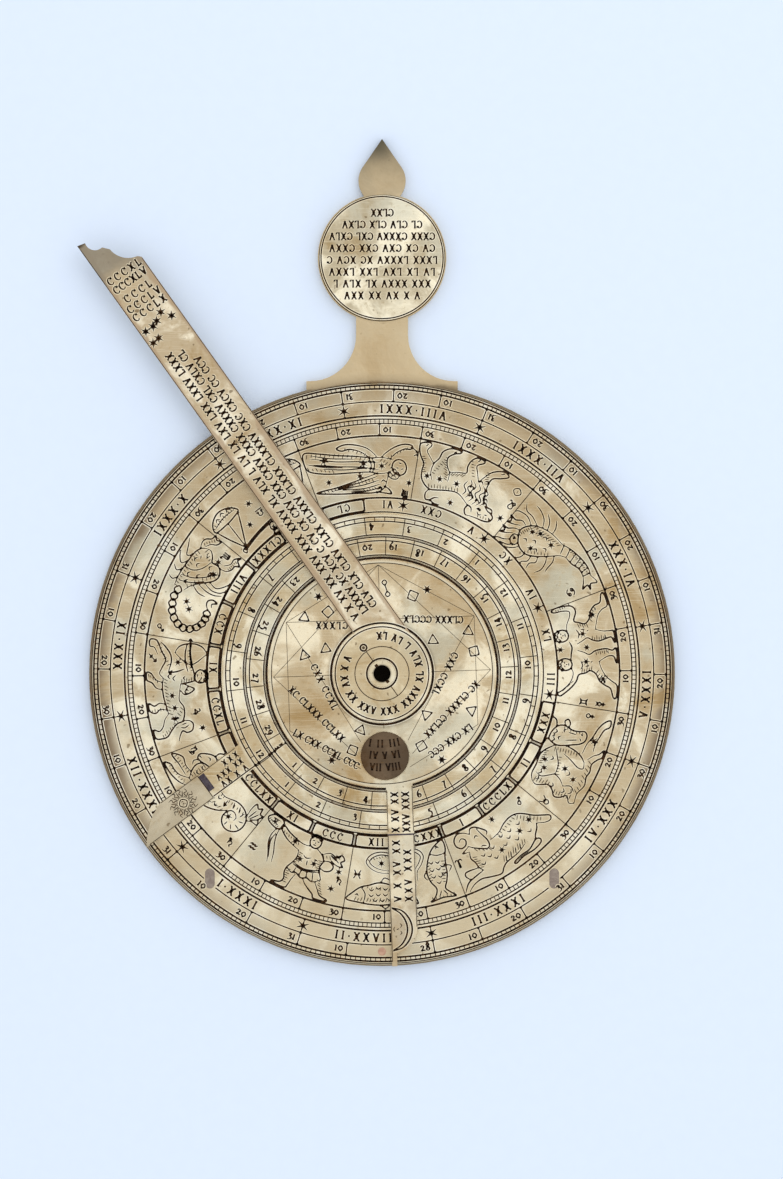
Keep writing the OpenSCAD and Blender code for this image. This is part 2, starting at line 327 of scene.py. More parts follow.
def plain_metal(name, main, other, roughness):
    """A small fixing's metal: two close tones, file marks and pits."""
    shader = Shader(name, metallic=0.85, roughness=roughness)
    mottle = shader.noise(1.4, detail=4, rough=0.65)
    files = shader.noise(1.0, detail=2, vector=shader.mapped(shader.place, (0.6, 9.0, 1), 28))
    colour = shader.blend(shader.span(mottle, 0.38, 0.64), main, other)
    colour = shader.blend(shader.span(files, 0.6, 0.75, end=0.35), colour, srgb(60, 52, 46))
    shader.feed("Base Color", colour)
    rough = shader.span(mottle, 0.3, 0.7, roughness - 0.08, roughness + 0.1)
    shader.feed("Roughness", rough)
    shader.bump(shader.math("ADD", mottle, files), 0.03)
    return shader.material


def engraving_fill():
    """Dark wax and dirt in the engraved lines."""
    shader = Shader("engraving_fill", metallic=0.0, roughness=0.6)
    mottle = shader.noise(0.9, detail=4, rough=0.65)
    colour = shader.blend(shader.span(mottle, 0.42, 0.72), srgb(26, 13, 4), srgb(74, 48, 20))
    shader.feed("Base Color", colour)
    shader.feed("Specular IOR Level", 0.1)
    shader.bump(mottle, 0.02)
    return shader.material


def floor_paint():
    """Pale blue-white paper, painted dark round the foot of the sighting hole as shade."""
    shader = Shader("floor_paint", metallic=0.0, roughness=0.8)
    fibre = shader.noise(0.35, detail=3)
    colour = shader.blend(shader.span(fibre, 0.3, 0.7), srgb(219, 232, 251), srgb(220, 233, 251))
    # Painted shade: the floor under the dial, seen only down the sighting hole, is dark.
    colour = shader.blend(shader.span(shader.distance((1, 1, 1)), 3, 6), srgb(40, 34, 30), colour)
    shader.feed("Base Color", colour)
    shader.feed("Specular IOR Level", 0.1)
    return shader.material


# Objects, lines and places

def add_object(name, data):
    """A new object in the scene."""
    thing = bpy.data.objects.new(name, data)
    bpy.context.scene.collection.objects.link(thing)
    return thing


def smooth(knots, closed=False, steps=5):
    """A smooth line through given points."""
    count = len(knots)
    line = []
    for i in range(count if closed else count - 1):
        before = knots[i - 1] if closed or i else knots[0]
        here = knots[i]
        there = knots[(i + 1) % count]
        after = knots[(i + 2) % count] if closed or i + 2 < count else there
        for step in range(steps):
            t = step / steps
            line.append(tuple(
                b + 0.5 * t * (c - a + t * (2 * a - 5 * b + 4 * c - d + t * (3 * b - a - 3 * c + d)))
                for a, b, c, d in zip(before, here, there, after)))
    if not closed:
        line.append(knots[-1])
    return line


# An arc's fewest steps, the degrees in a step at a radius of 1, and the steps in 1 mm of a straight line
ARC_FEWEST = 8
ARC_STEP = 30
STRAIGHT_STEPS = 4


def arc(radius, start, end, centre=(0.0, 0.0)):
    """Points along an arc between two directions in degrees, both ends included."""
    count = max(ARC_FEWEST, int(abs(end - start) * radius / ARC_STEP) + 2)
    angles = [math.radians(start + (end - start) * i / count) for i in range(count + 1)]
    return [(centre[0] + radius * math.cos(a), centre[1] + radius * math.sin(a)) for a in angles]


def polar(radius, angle):
    return (radius * math.cos(math.radians(angle)), radius * math.sin(math.radians(angle)))


def on_ring(radius, angle):
    """Places local points on a ring: x runs counterclockwise, and y towards the centre."""
    def place(x, y):
        return polar(radius - y, angle + math.degrees(x / radius))
    return place


def turned(x, y, angle):
    """A point turned about the pivot, in degrees."""
    c = math.cos(math.radians(angle))
    s = math.sin(math.radians(angle))
    return (c * x - s * y, s * x + c * y)


def on_line(origin, angle, turn=0.0):
    """Places local points on a straight line at an angle from an origin; turn spins the whole plate."""
    def place(x, y):
        dx, dy = turned(x, y, angle)
        return turned(origin[0] + dx, origin[1] + dy, turn)
    return place


def on_figure(middle):
    """Places a zodiac figure's points, in tenths of a millimetre, round the middle of its sign."""
    def place(x, y):
        return polar(FIGURES_OUT - y * TENTH, middle + math.degrees(x * TENTH / FIGURE_RADIUS))
    return place


def shifted(place, x, y):
    """The same place with its origin moved."""
    def moved(px, py):
        return place(x + px, y + py)
    return moved


def corners(radius, sides, first):
    """Corners of a regular shape, the first at an angle in degrees."""
    return [polar(radius, first + 360 * k / sides) for k in range(sides)]


def straight(start, end):
    """Close points along a straight line."""
    count = max(1, round(STRAIGHT_STEPS * math.dist(start, end)))
    return [tuple(a + (b - a) * i / count for a, b in zip(start, end)) for i in range(count + 1)]


def inside(point, circles):
    return any(math.dist(point, centre) < radius for centre, radius in circles)


def outside(line, closed, circles):
    """The stretches of a line outside some circles, each a centre and a radius."""
    gaps = [i for i, point in enumerate(line) if inside(point, circles)]
    if not gaps:
        return [line]
    if closed:
        line = line[gaps[0]:] + line[:gaps[0]]
    parts = [[]]
    for point in line:
        if not inside(point, circles):
            parts[-1].append(point)
        elif parts[-1]:
            parts.append([])
    return [part for part in parts if len(part) > 1]


# Letters are Roman numerals and old-style figures, drawn with a broad pen. Cap height is 1.
LETTER_GAP = 0.1
MOST_SPARE = 0.3
PEN_DOWN = 0.23
PEN_ACROSS = 0.12
LETTERS = {
    "I": (0.36, ["0.15 0,0.15 1", "0 1,0.3 1", "0 0,0.3 0"], []),
    "V": (0.78, ["0.08 1,0.38 0", "0.38 0,0.66 1", "-0.04 1,0.2 1", "0.54 1,0.78 1"], []),
    "X": (0.76, ["0.08 1,0.62 0", "0.62 1,0.08 0", "-0.03 1,0.2 1", "0.5 1,0.73 1",
                 "-0.03 0,0.2 0", "0.5 0,0.73 0"], []),
    "L": (0.62, ["0.13 0,0.13 1", "0 1,0.27 1", "0 0,0.5 0", "0.5 0,0.54 0.22"], []),
    "C": (0.76, ["0.64 0.7,0.64 0.98"],
          ["0.64 0.8,0.4 1,0.12 0.8,0.05 0.5,0.12 0.2,0.4 0,0.66 0.18"]),
    "0": (0.66, [], ["0.3 0,0.56 0.36,0.3 0.72,0.04 0.36,0.3 0"]),
    "1": (0.38, ["0.15 0,0.15 0.72", "0.02 0.7,0.15 0.72", "0.02 0,0.28 0"], []),
    "2": (0.62, ["0.04 0.03,0.5 0.03", "0.5 0.03,0.54 0.16"],
          ["0.05 0.54,0.2 0.72,0.42 0.62,0.36 0.38,0.06 0.04"]),
    "3": (0.56, [], ["0.06 0.64,0.26 0.76,0.42 0.6,0.18 0.38",
                     "0.18 0.38,0.46 0.24,0.38 -0.04,0.04 -0.1"]),
    "4": (0.64, ["0.4 -0.28,0.4 0.72", "0.4 0.72,0.02 0.06", "0.02 0.06,0.58 0.06"], []),
    "5": (0.56, ["0.14 0.72,0.12 0.36", "0.14 0.72,0.48 0.72"],
          ["0.12 0.36,0.36 0.34,0.44 0.08,0.3 -0.2,0.04 -0.26"]),
    "6": (0.6, [], ["0.46 1,0.16 0.72,0.05 0.34,0.18 0.02,0.4 0.06,0.48 0.28,0.34 0.48,0.08 0.34"]),
    "7": (0.58, ["0.04 0.72,0.5 0.72"], ["0.5 0.72,0.3 0.3,0.16 -0.28"]),
    "8": (0.62, [], ["0.28 0.52,0.46 0.78,0.28 1,0.1 0.78,0.28 0.52",
                     "0.28 0.52,0.5 0.24,0.28 0,0.06 0.24,0.28 0.52"]),
    "9": (0.6, [], ["0.08 -0.28,0.38 -0.02,0.5 0.38,0.36 0.7,0.12 0.66,0.06 0.42,0.2 0.22,0.46 0.36"]),
    ".": (0.3, ["0.12 0.38,0.12 0.56"], []),
    " ": (0.34, [], []),
}


def points(text):
    """Points from words such as "0 1,2 3"."""
    return [tuple(float(number) for number in pair.split()) for pair in text.split(",") if pair]


def strokes(text):
    """Lists of points from words such as "0 1,2 3;4 5,6 7"."""
    return [points(stroke) for stroke in text.split(";")]


def text_width(text, height, gap):
    return sum(LETTERS[letter][0] + gap for letter in text) * height - gap * height


# A tapered stroke's width at its ends, as a share of its full width
TAPER = 0.45

# A star's arms, and their widths half way and at their points, as shares of the width at its middle
STAR_ARMS = 6
STAR_SWELL = 1.1
STAR_POINT = 0.35

# Space between a number and the line after it, and the length of every other stroke in a row of hatching
NUMBER_SPACE = 0.75
SHORT_STROKE = 0.7


class Engraving:
    """Dark strokes cut into one flat face, gathered into one mesh of thin closed bars."""

    def __init__(self, name, body, node, clear=()):
        self.name = name
        self.body = body
        self.clear = clear
        self.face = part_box(node)[1].z / MM
        self.corners = []
        self.faces = []
        self.finishes = []

    def bar(self, line, widths, closed=False):
        """A dark stroke, on a wider and lower strip of burr painted bright as a highlight if it is cut deep.
        """
        self.prism(line, widths, closed, PROUD, 0)
        if max(widths) > FINE:
            self.prism(line, [width + 2 * BURR_HIGHLIGHT for width in widths], closed, BURR_HIGHLIGHT_PROUD, 1)

    def prism(self, line, widths, closed, top, finish):
        """A closed bar along a line, whose width may change from point to point."""
        count = len(line)
        first = len(self.corners)
        for i, (x, y) in enumerate(line):
            back = line[i - 1] if closed or i else line[0]
            on = line[(i + 1) % count] if closed or i < count - 1 else line[i]
            length = math.hypot(on[0] - back[0], on[1] - back[1]) or 1.0
            half = widths[i] / 2 / length
            dx = (back[1] - on[1]) * half
            dy = (on[0] - back[0]) * half
            for side, z in ((1, top), (-1, top), (-1, -DEEP), (1, -DEEP)):
                self.corners.append(((x + side * dx) * MM, (y + side * dy) * MM, (self.face + z) * MM))
        for i in range(count if closed else count - 1):
            a = first + 4 * i
            b = first + 4 * ((i + 1) % count)
            for k in range(4):
                n = (k + 1) % 4
                self.faces.append((a + k, a + n, b + n, b + k))
        if not closed:
            last = first + 4 * (count - 1)
            self.faces.append((first + 3, first + 2, first + 1, first))
            self.faces.append((last, last + 1, last + 2, last + 3))
        self.finishes += [finish] * (len(self.faces) - len(self.finishes))

    def line(self, line, width, closed=False):
        """A line of one width, left out where it would cross an opening or a fixing."""
        for part in outside(line, closed, self.clear):
            self.bar(part, [width] * len(part), closed and len(part) == len(line))

    def ring(self, radius, width, centre=(0.0, 0.0)):
        self.line(arc(radius, 0, 360, centre)[:-1], width, closed=True)

    def spoke(self, angle, inner, outer, width):
        self.line([polar(inner, angle), polar(outer, angle)], width)

    def stroke(self, knots, width, place, taper=True):
        """A stroke through given knots, thinner at its ends, closed if its ends meet."""
        closed = len(knots) > 3 and knots[0] == knots[-1]
        line = smooth(knots[:-1] if closed else knots, closed)
        count = len(line)
        widths = [width] * count
        if taper and not closed:
            swells = [min(1.0, 4 * min(i, count - 1 - i) / count) for i in range(count)]
            widths = [width * (TAPER + (1 - TAPER) * swell) for swell in swells]
        self.bar([place(x, y) for x, y in line], widths, closed)

    def pen(self, line, height, place):
        """A stroke of a broad pen held level: thick going down and thin going across."""
        widths = []
        for i in range(len(line)):
            a = line[max(i - 1, 0)]
            b = line[min(i + 1, len(line) - 1)]
            length = math.hypot(b[0] - a[0], b[1] - a[1]) or 1.0
            down = abs(b[1] - a[1]) / length
            across = abs(b[0] - a[0]) / length
            widths.append(height * math.hypot(PEN_DOWN * down, PEN_ACROSS * across))
        self.bar([place(x, y) for x, y in line], widths)

    def text(self, text, height, place, start=None, gap=LETTER_GAP):
        """Writes along a place's x axis, from start or centred on 0, and leaves out letters at fixings."""
        x = -text_width(text, height, gap) / 2 if start is None else start
        for letter in text:
            advance, sticks, bows = LETTERS[letter]
            lines = [points(stick) for stick in sticks]
            lines += [smooth(points(bow), steps=4) for bow in bows]
            if not inside(place(x + height * advance / 2, height / 2), self.clear):
                for line in lines:
                    self.pen([(x + height * px, height * py) for px, py in line], height, place)
            x += (advance + gap) * height

    def text_before(self, text, height, place):
        """Writes a number that ends a little before a place's origin, unless a fixing is in its way."""
        start = -NUMBER_SPACE - text_width(text, height, LETTER_GAP)
        if not any(inside(place(x, height / 3), self.clear) for x in (start, start / 2, -NUMBER_SPACE)):
            self.text(text, height, place, start)

    def text_between(self, text, height, start, end, gap):
        """Writes midway between two points, along the line from one to the other."""
        middle = [(a + b) / 2 for a, b in zip(start, end)]
        angle = math.degrees(math.atan2(end[1] - start[1], end[0] - start[0]))
        self.text(text, height, shifted(on_line(middle, angle), 0, -height / 2), gap=gap)

    def edge(self, turn, start, end, across, width=EDGE_SHADE):
        """A line along the side of a pointer: by default a thin line of painted shade at its edge."""
        place = on_line((0, 0), 0, turn)
        self.line([place(start, across), place(end, across)], width)

    def star(self, place, size, width=MEDIUM):
        """A star, left out where a fixing is."""
        if inside(place(0, 0), self.clear):
            return
        for x, y in corners(size, STAR_ARMS, 90):
            widths = [width, width * STAR_SWELL, width * STAR_POINT]
            self.bar([place(0, 0), place(x / 2, y / 2), place(x, y)], widths)

    def finish(self, materials):
        mesh = bpy.data.meshes.new(self.name)
        mesh.from_pydata(self.corners, [], self.faces)
        for material in materials:
            mesh.materials.append(material)
        mesh.polygons.foreach_set("material_index", self.finishes)
        piece = add_object(self.name, mesh)
        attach(piece, self.body)


# Zodiac figures, drawn in tenths of a millimetre: x runs counterclockwise from the sign's middle,
# and y towards the dial's centre. Strokes are parted by semicolons, and one whose ends meet is closed.
# A row of hatching has its first and last start, the way each stroke runs and the number of strokes.
TENTH = 0.1
FIGURE_STAR = 9
ZODIAC = {
    "ram": dict(
        outlines="""-20 82,5 85,24 93,45 96,62 91,74 80,86 63,99 49,108 38,103 31,92 35,78 48;78 48,
        72 40,61 32,54 24;-34 118,-30 104,-25 86,-27 74,-34 70,-44 75,-61 86,-70 94;-54 114,-66 123,
        -82 126,-94 117,-95 104,-85 95,-73 98,-69 108,-77 114,-85 109;-54 114,-48 124,-36 123,-24 113,
        -16 102,-21 96;-72 82,-76 68,-71 56,-69 44,-63 34;-70 43,-86 45,-98 44,-100 36,-92 25;-63 34,
        -83 29,-100 22,-112 5;-104 4,-92 14,-74 19,-56 14,-36 9,-26 18,-14 24,12 26,33 32;-3 15,15 18,
        34 17,54 24,62 19,58 12,40 10,16 13,-2 10,-3 15""",
        lines="""-49 102,-44 106,-39 102;-33 76,-39 80,-44 80;-70 92,-88 84,-74 82;-16 26,-10 37;-4 27,
        2 38;8 28,14 39;20 30,26 40""",
        hatches="""-20 27 34 32 6 12 10;-72 68 -66 42 10 -3 6;62 88 94 50 -9 -7 8;-60 84 -32 70 4 -9 5;
        0 84 56 94 3 -8 8""",
        curls="-49 62,-24 66,2 56,26 74,50 74,-56 46,-28 44,28 50,58 46,-38 54,4 76,16 64",
        stars="-11 51,42 60,72 64,10 116",
        signs=(("ram", -103, 67), ("mars", 86, 106))),
    "bull": dict(
        outlines="""-84 113,-70 122,-46 124,-22 127,-6 122,8 112,16 104;16 104,22 86,29 72,35 59,44 50,
        56 49,63 56,60 68,59 82,64 98,62 110,52 119,36 124,22 122,16 104;24 123,18 130,6 132;56 116,
        72 120,79 131;64 98,74 102,80 96,72 90,62 91;22 84,20 66,14 48,4 35;20 46,40 44,56 37,76 30,
        90 20,96 8,84 7,76 17,60 23,44 27,30 26;12 31,23 22,30 12,39 5,26 4,18 12,6 19,-8 16,-20 18,
        -36 13,-56 18,-74 12;-84 113,-87 102,-79 90,-72 80,-76 67,-85 56,-80 44,-70 34,-79 22,-74 12""",
        lines="""-45 79,-24 82,-6 93,8 101;-62 116,-64 102,-52 88,-45 79,-49 64,-58 52;4 35,-8 32,-10 44,
        -2 64,4 82;-58 52,-50 38,-56 26;29 102,34 106,39 101;49 96,54 99,57 94;42 58,47 62;53 58,56 62;
        33 90,39 74,42 66;52 88,52 72""",
        hatches="""12 104 20 52 -11 -2 10;-84 110 -74 80 13 0 6;-56 18 6 19 5 10 9;-82 60 -74 26 11 2 7;
        62 100 60 60 -7 -2 7;-40 122 -8 121 4 -8 7;-44 78 -8 90 3 -8 7""",
        curls="-68 72,-66 46,-56 108,-72 106,26 114,36 117,46 114,-16 100,-30 54,-60 32",
        stars="-44 106,-26 113,-36 40,-24 66,50 32",
        signs=(("bull", -104, 65), ("venus", 97, 52))),
    "twins": dict(
        outlines="""-36 114,-33 125,-22 130,-11 125,-8 114,-12 104,-22 100,-32 104,-36 114;32 114,35 125,
        46 130,57 125,60 114,56 104,46 100,36 104,32 114;-30 102,-44 98,-64 104,-82 118,-92 128,-98 123,
        -90 114,-74 100,-60 91,-46 86,-42 72,-37 62,-44 50,-58 42,-66 30,-72 18,-88 11,-88 5,-66 5,
        -57 17,-48 29,-34 38,-19 43;-19 43,-12 30,-9 20,-11 11,-22 7,-20 4,4 5,1 13,5 25,5 38,3 50,-3 62,
        3 74,8 86;-14 102,2 100,16 97,30 101;54 102,70 98,84 89,96 86,102 100,104 116,109 122,113 114,
        112 97,106 78,92 73,74 82,67 72,62 61,69 50,83 43,92 32,95 18,108 11,109 5,86 5,81 18,73 29,
        58 37,46 42;46 42,40 27,38 12,36 5,16 5,18 8,26 12,24 26,22 40,26 52,32 62,27 74,22 85""",
        lines="""-34 82,-26 78,-16 81;34 81,44 78,54 82;-20 60,-18 57;46 60,47 57;-28 115,-24 116;
        -20 116,-15 115;-25 107,-19 107;-22 113,-22 110;40 115,44 116;49 116,53 115;43 107,50 107;46 113,
        47 110;-62 30,-56 32;88 31,82 33;-4 22,1 23;26 24,33 24;-28 72,-27 64;52 72,51 64""",
        hatches="""-42 80 -38 60 11 -2 5;66 76 63 58 -11 -2 5;-44 50 -64 34 8 -6 5;70 50 92 36 -8 -6 5;
        -86 120 -66 103 6 -6 5;104 112 108 82 6 0 7;3 48 4 26 -9 -1 6;24 52 23 28 10 -1 6""",
        curls="-33 121,-24 125,-14 122,36 121,46 125,56 121",
        stars="-18 70,42 70,-54 35,76 41,14 122,12 66",
        signs=(("twins", -104, 72), ("mercury", -104, 34))),
    "crab": dict(
        outlines="""-26 43,-16 52,-4 72,8 89,20 101,32 108,48 109,62 104,72 94,79 82,76 69,64 54,45 43,
        25 37,0 34;-26 43,-42 40,-56 32,-66 30,-76 31;0 34,-16 26,-32 20,-50 15,-66 13,-80 15;-76 31,
        -86 35,-98 42,-94 30,-104 27,-94 22,-96 8,-80 15;63 103,66 112,76 114,84 107,83 96,73 93;80 82,
        92 87,103 96,116 97,106 103,114 112,100 106,88 96;78 66,90 64,102 72,116 70,108 79,114 86,100 82,
        86 74""",
        lines="""-14 49,-4 32;-26 42,-17 26;-38 40,-30 21;-49 35,-42 18;-58 31,-52 15;-67 30,-64 13;
        -75 30,-75 14;73 101,77 105,79 100,74 100;82 110,94 119,108 124,116 130;68 113,80 123,98 128;
        56 109,64 120,80 130;50 44,60 30,76 22,88 20;40 40,48 26,62 16;60 50,80 43,96 42,106 30;70 58,
        88 50,108 53,114 60;28 36,32 24,42 12;9 91,2 102,9 114,4 126;20 102,16 114,24 124,22 130;34 109,
        34 120,42 130;-2 76,-12 86,-19 102,-16 116;-10 62,-19 72,-24 88,-28 96""",
        hatches="""0 36 66 54 4 9 12;-4 74 34 108 7 -5 8;-74 16 -24 24 2 6 13;70 62 78 88 -9 2 7;
        20 46 60 64 3 8 8""",
        curls="12 70,30 54,56 88,24 86,40 76",
        stars="34 92,58 66,12 54,44 56",
        signs=(("crab", -94, 68),)),
    "lion": dict(
        outlines="""-32 122,-50 119,-70 116,-82 110,-84 100,-76 95,-64 93,-54 88;-78 94,-72 87,-60 87,
        -54 82,-48 86;-32 122,-24 123,-17 114,-20 104,-29 105,-34 113;-20 104,-8 98,4 92,18 89,40 93,
        60 98,76 100,90 92,99 80,101 64,100 50,107 38,112 26,113 10,102 5,94 5,92 10,98 22,90 34,80 46;
        76 100,83 110,80 122,70 122,60 115,50 113;70 122,56 127,44 126;-48 84,-42 66,-38 46,-40 30,
        -54 20,-65 9,-56 4,-44 9,-32 20,-24 36,-18 50;-18 50,-9 34,-2 20,-12 9,-10 4,4 5,12 16,14 30,
        12 43,28 48,44 54;42 74,44 56,53 42,56 26,46 14,36 9,36 4,54 5,68 16,72 32,80 46,82 64,76 80""",
        lines="""-44 92,-50 82,-42 74,-48 64,-40 56;-36 96,-42 84,-33 74,-39 62,-31 52;-27 98,-32 86,
        -23 75,-29 63,-21 53;-17 95,-22 84,-13 74,-18 62,-11 54;-7 91,-12 80,-3 70,-8 60,-2 52;2 88,
        -2 78,6 69,3 58;-58 107,-52 110,-46 106;-82 108,-76 104;-70 102,-64 104;-52 99,-44 102;-56 8,
        -50 13;-4 6,0 12;44 8,48 13;98 8,102 13""",
        hatches="""12 46 42 54 6 9 7;44 72 54 38 9 -3 8;14 88 78 98 3 -9 11;101 68 106 36 -9 -2 8;
        -38 44 -30 22 8 3 6;80 64 60 26 -7 2 8;0 44 12 16 -7 -1 6;-80 110 -54 116 3 -6 5""",
        curls="-46 100,-34 86,-18 84,-50 76,-24 48,-34 42,-12 66",
        stars="22 72,60 74,20 114,88 74,-98 90",
        signs=(("lion", -100, 54), ("sun", -94, 24))),
    "virgin": dict(
        outlines="""-56 84,-48 110,-24 120,20 118,64 112,110 98,64 99,24 94,-10 86,-34 79;-62 76,-40 80,
        -14 76,20 74,56 70,86 62,110 48,113 26,106 10,80 20,48 32,12 40,-20 46,-42 46,-64 50;-94 64,
        -92 76,-82 82,-70 78,-64 68,-66 56,-76 49,-88 53,-94 64;-58 50,-70 36,-86 26,-98 25,-100 17,
        -84 16,-66 24,-48 38,-42 46;-18 46,0 32,20 24,36 25,45 18,30 13,10 16,-14 26,-32 44;-46 106,
        -58 112,-66 122,-50 121,-28 119""",
        lines="""-40 102,0 110,50 107;-36 94,6 103,76 104;-32 86,10 97,60 102;-44 108,-10 115,30 113;
        -36 72,4 64,48 56,96 39;-34 56,8 52,54 44,100 24;-10 68,38 65,80 54;14 46,60 36,94 20;40 60,
        80 49,108 34;-22 76,-27 62,-22 47;-16 75,-20 62,-16 46;-82 82,-76 90,-64 90,-56 82,-60 74;-98 20,
        -110 28,-115 44;-108 28,-114 28;-111 34,-106 38;-88 68,-83 69;-78 67,-73 67;-83 57,-77 56""",
        hatches="""-20 90 92 99 -4 9 15;-18 46 102 14 4 9 15;-66 62 -44 48 6 7 5;-56 44 -92 22 2 6 7;
        -10 36 28 20 3 6 6;-44 112 -4 117 6 -6 7;60 68 108 48 2 -8 7""",
        curls="-76 78,-69 72,-68 85,-60 80,-46 96,-38 112",
        stars="6 83,-104 96,76 84,-42 64,-4 58,74 38",
        signs=(("virgin", -98, 120),)),
    "scales": dict(
        outlines="""-88 95,-40 97,8 101,46 105,88 110,88 114,46 109,8 106,-40 102,-88 100,-88 95;2 105,
        -2 116,6 124,14 117,10 107;44 42,60 47,80 48,108 43,100 26,78 17,56 25,44 42;-108 28,-92 33,
        -72 34,-44 29,-52 12,-74 4,-96 11,-108 28;88 112,64 76,46 43;88 112,100 76,107 44;-88 97,-100 62,
        -107 29;-88 97,-64 62,-46 30""",
        lines="""88 112,82 78,78 48;-88 97,-80 64,-74 34;50 36,76 33,102 37;-102 22,-74 19,-50 23;88 114,
        96 120,99 112,92 108;-88 100,-96 106,-99 98,-92 94;4 112,6 120,9 113""",
        hatches="48 36 104 38 2 -9 10;-104 22 -48 24 2 -9 10;10 102 80 110 2 4 12;-80 97 -4 103 2 4 12",
        curls="60 28,74 25,88 28,-90 15,-76 12,-62 15",
        beads="6 129",
        stars="46 82,-36 66,20 46,-18 22",
        signs=(("scales", 12, 74), ("venus", -20, 80))),
    "scorpion": dict(
        outlines="""-84 48,-85 58,-76 68,-66 74,-66 90,-54 100,-42 101,-30 94,-16 76,-2 58,12 48;-84 48,
        -78 38,-64 31,-40 28,-16 25,10 25;-76 37,-88 32,-98 34,-106 44,-116 46,-110 54,-114 64,-102 60,
        -96 50,-86 43;-64 94,-66 108,-76 116,-88 118,-94 126,-102 116,-112 118,-100 108,-86 108,-74 98;
        34 110,24 104,14 104,8 113,12 124,18 114,26 116""",
        lines="""-26 90,-20 108,-32 122,-46 130;-19 82,-11 102,-14 120,-26 130;-11 72,-4 92,-3 110,
        -9 126;-4 62,6 78,8 94;-60 30,-52 20,-68 12,-82 5;-44 27,-34 18,-44 8,-54 4;-26 26,-18 16,-26 6;
        -8 25,0 16,-4 6;-74 56,-68 59;-66 46,-60 49;-64 72,-44 62,-32 46,-32 28;-50 96,-32 78,-18 54,
        -14 28;-22 79,-8 56,-2 30""",
        hatches="""-70 34 8 25 3 9 13;-46 101 6 54 -8 -6 9;-84 52 -66 72 9 -3 5;-108 48 -90 36 4 6 5;
        -98 112 -74 108 2 6 6""",
        curls="-54 76,-46 50,-26 62,-54 40,-22 42,-6 44,-40 82",
        beads="16 36,30 33,45 35,59 39,72 47,82 58,88 71,87 85,80 98,69 107,56 111,43 111",
        stars="-46 88,46 72,-74 84,32 62",
        signs=(("scorpion", -94, 90), ("mars", 96, 24))),
    "archer": dict(
        outlines="""-20 76,0 72,16 70,30 77,46 76,60 69,63 56,73 42,83 30,84 18,80 5,64 5,69 16,62 26,
        49 33,40 43;40 43,24 41,6 38,-16 37,-33 40;32 42,28 28,34 16,28 5,14 5,20 16,16 28,20 40;-33 40,
        -42 32,-54 37,-70 44,-86 34,-100 26,-107 19,-106 7,-94 8,-92 18,-80 26;-44 50,-66 56,-82 53,
        -96 41,-104 30;-24 38,-30 24,-42 14,-44 5,-30 5,-24 16,-14 24,-10 37;60 69,62 82,71 89,84 84,
        86 72,80 64,88 56,98 50;-20 76,-22 94,-26 108;-44 50,-46 68,-52 84;-20 80,-12 96,-6 104,2 94,
        4 82,-6 75;-50 122,-43 132,-30 133,-21 125,-20 114,-28 107,-42 108,-50 115,-50 122;-90 130,
        -104 120,-110 104,-108 86,-100 70,-86 62;-28 106,-46 104,-70 97,-94 93,-110 94;-46 92,-68 86,
        -88 84,-108 86""",
        lines="""-90 130,-62 98,-86 62;-120 91,-54 100;-114 97,-120 91,-113 87;71 80,75 70,72 62;66 76,
        67 66;-45 120,-40 121;-34 120,-29 120;-41 113,-34 112;-36 86,-32 82,-28 86;-38 66,-32 60,-26 64;
        50 64,52 54,48 46""",
        hatches="""-32 40 38 43 5 9 11;38 76 64 54 -8 -6 6;-20 78 -25 104 -10 1 6;-100 30 -62 54 4 -7 7;
        68 50 84 22 -7 -1 7;32 40 32 10 -7 0 6;-30 26 -42 8 7 2 5;-94 94 -50 102 2 -6 8""",
        curls="-46 128,-37 130,-27 127,-24 118,-8 90,-2 86,-44 56,-36 52",
        stars="4 56,30 58,-66 70,86 106,52 54",
        signs=(("jupiter", 46, 102), ("archer", -72, 16))),
    "goat": dict(
        outlines="""2 80,18 80,30 85,44 92,60 94,76 90,89 78,93 62,88 46,74 36,60 37,49 46,46 58,50 70,
        60 73,69 68,70 60;-54 39,-30 34,-10 32,6 33,22 42,36 54,45 66;-54 102,-40 92,-20 85,2 80;84 86,
        80 104,82 120,92 114,100 120,104 108,114 108,108 98,114 86,100 84,89 78;-89 82,-82 96,-72 106,
        -60 108,-52 100,-54 88,-64 82,-74 76,-84 74,-89 82;-68 107,-70 119,-60 129,-46 132;-58 108,
        -56 118,-46 124,-34 124;-68 79,-72 66,-66 52,-54 39;-64 48,-80 44,-96 46,-106 38,-112 26,-100 28,
        -88 32,-64 35;-54 39,-68 24,-82 18,-94 16,-102 5,-86 6,-70 10,-52 19,-40 33""",
        lines="""88 86,92 108;92 86,102 106;94 84,108 96;-74 94,-69 97,-65 93;-86 79,-80 81;-56 98,
        -44 98,-42 90;-79 74,-82 64,-76 58;60 90,66 79;76 86,74 74;88 70,79 66;89 54,78 56;78 42,71 50;
        62 40,62 49;44 88,50 76;30 80,34 64""",
        hatches="""-50 38 34 54 4 9 12;-66 78 -60 46 10 1 6;32 84 80 88 3 -8 7;-106 36 -68 46 2 -7 7;
        -98 9 -52 22 0 6 8;-30 86 18 80 2 -7 8""",
        curls="-58 74,-48 84,-56 60,-40 70,-26 74,-42 50,-26 54,-10 68,-12 46,4 60,14 70,20 54,32 70",
        stars="-32 64,4 46,-2 70,56 58",
        signs=(("goat", -102, 72), ("saturn", 94, 22))),
    "water": dict(
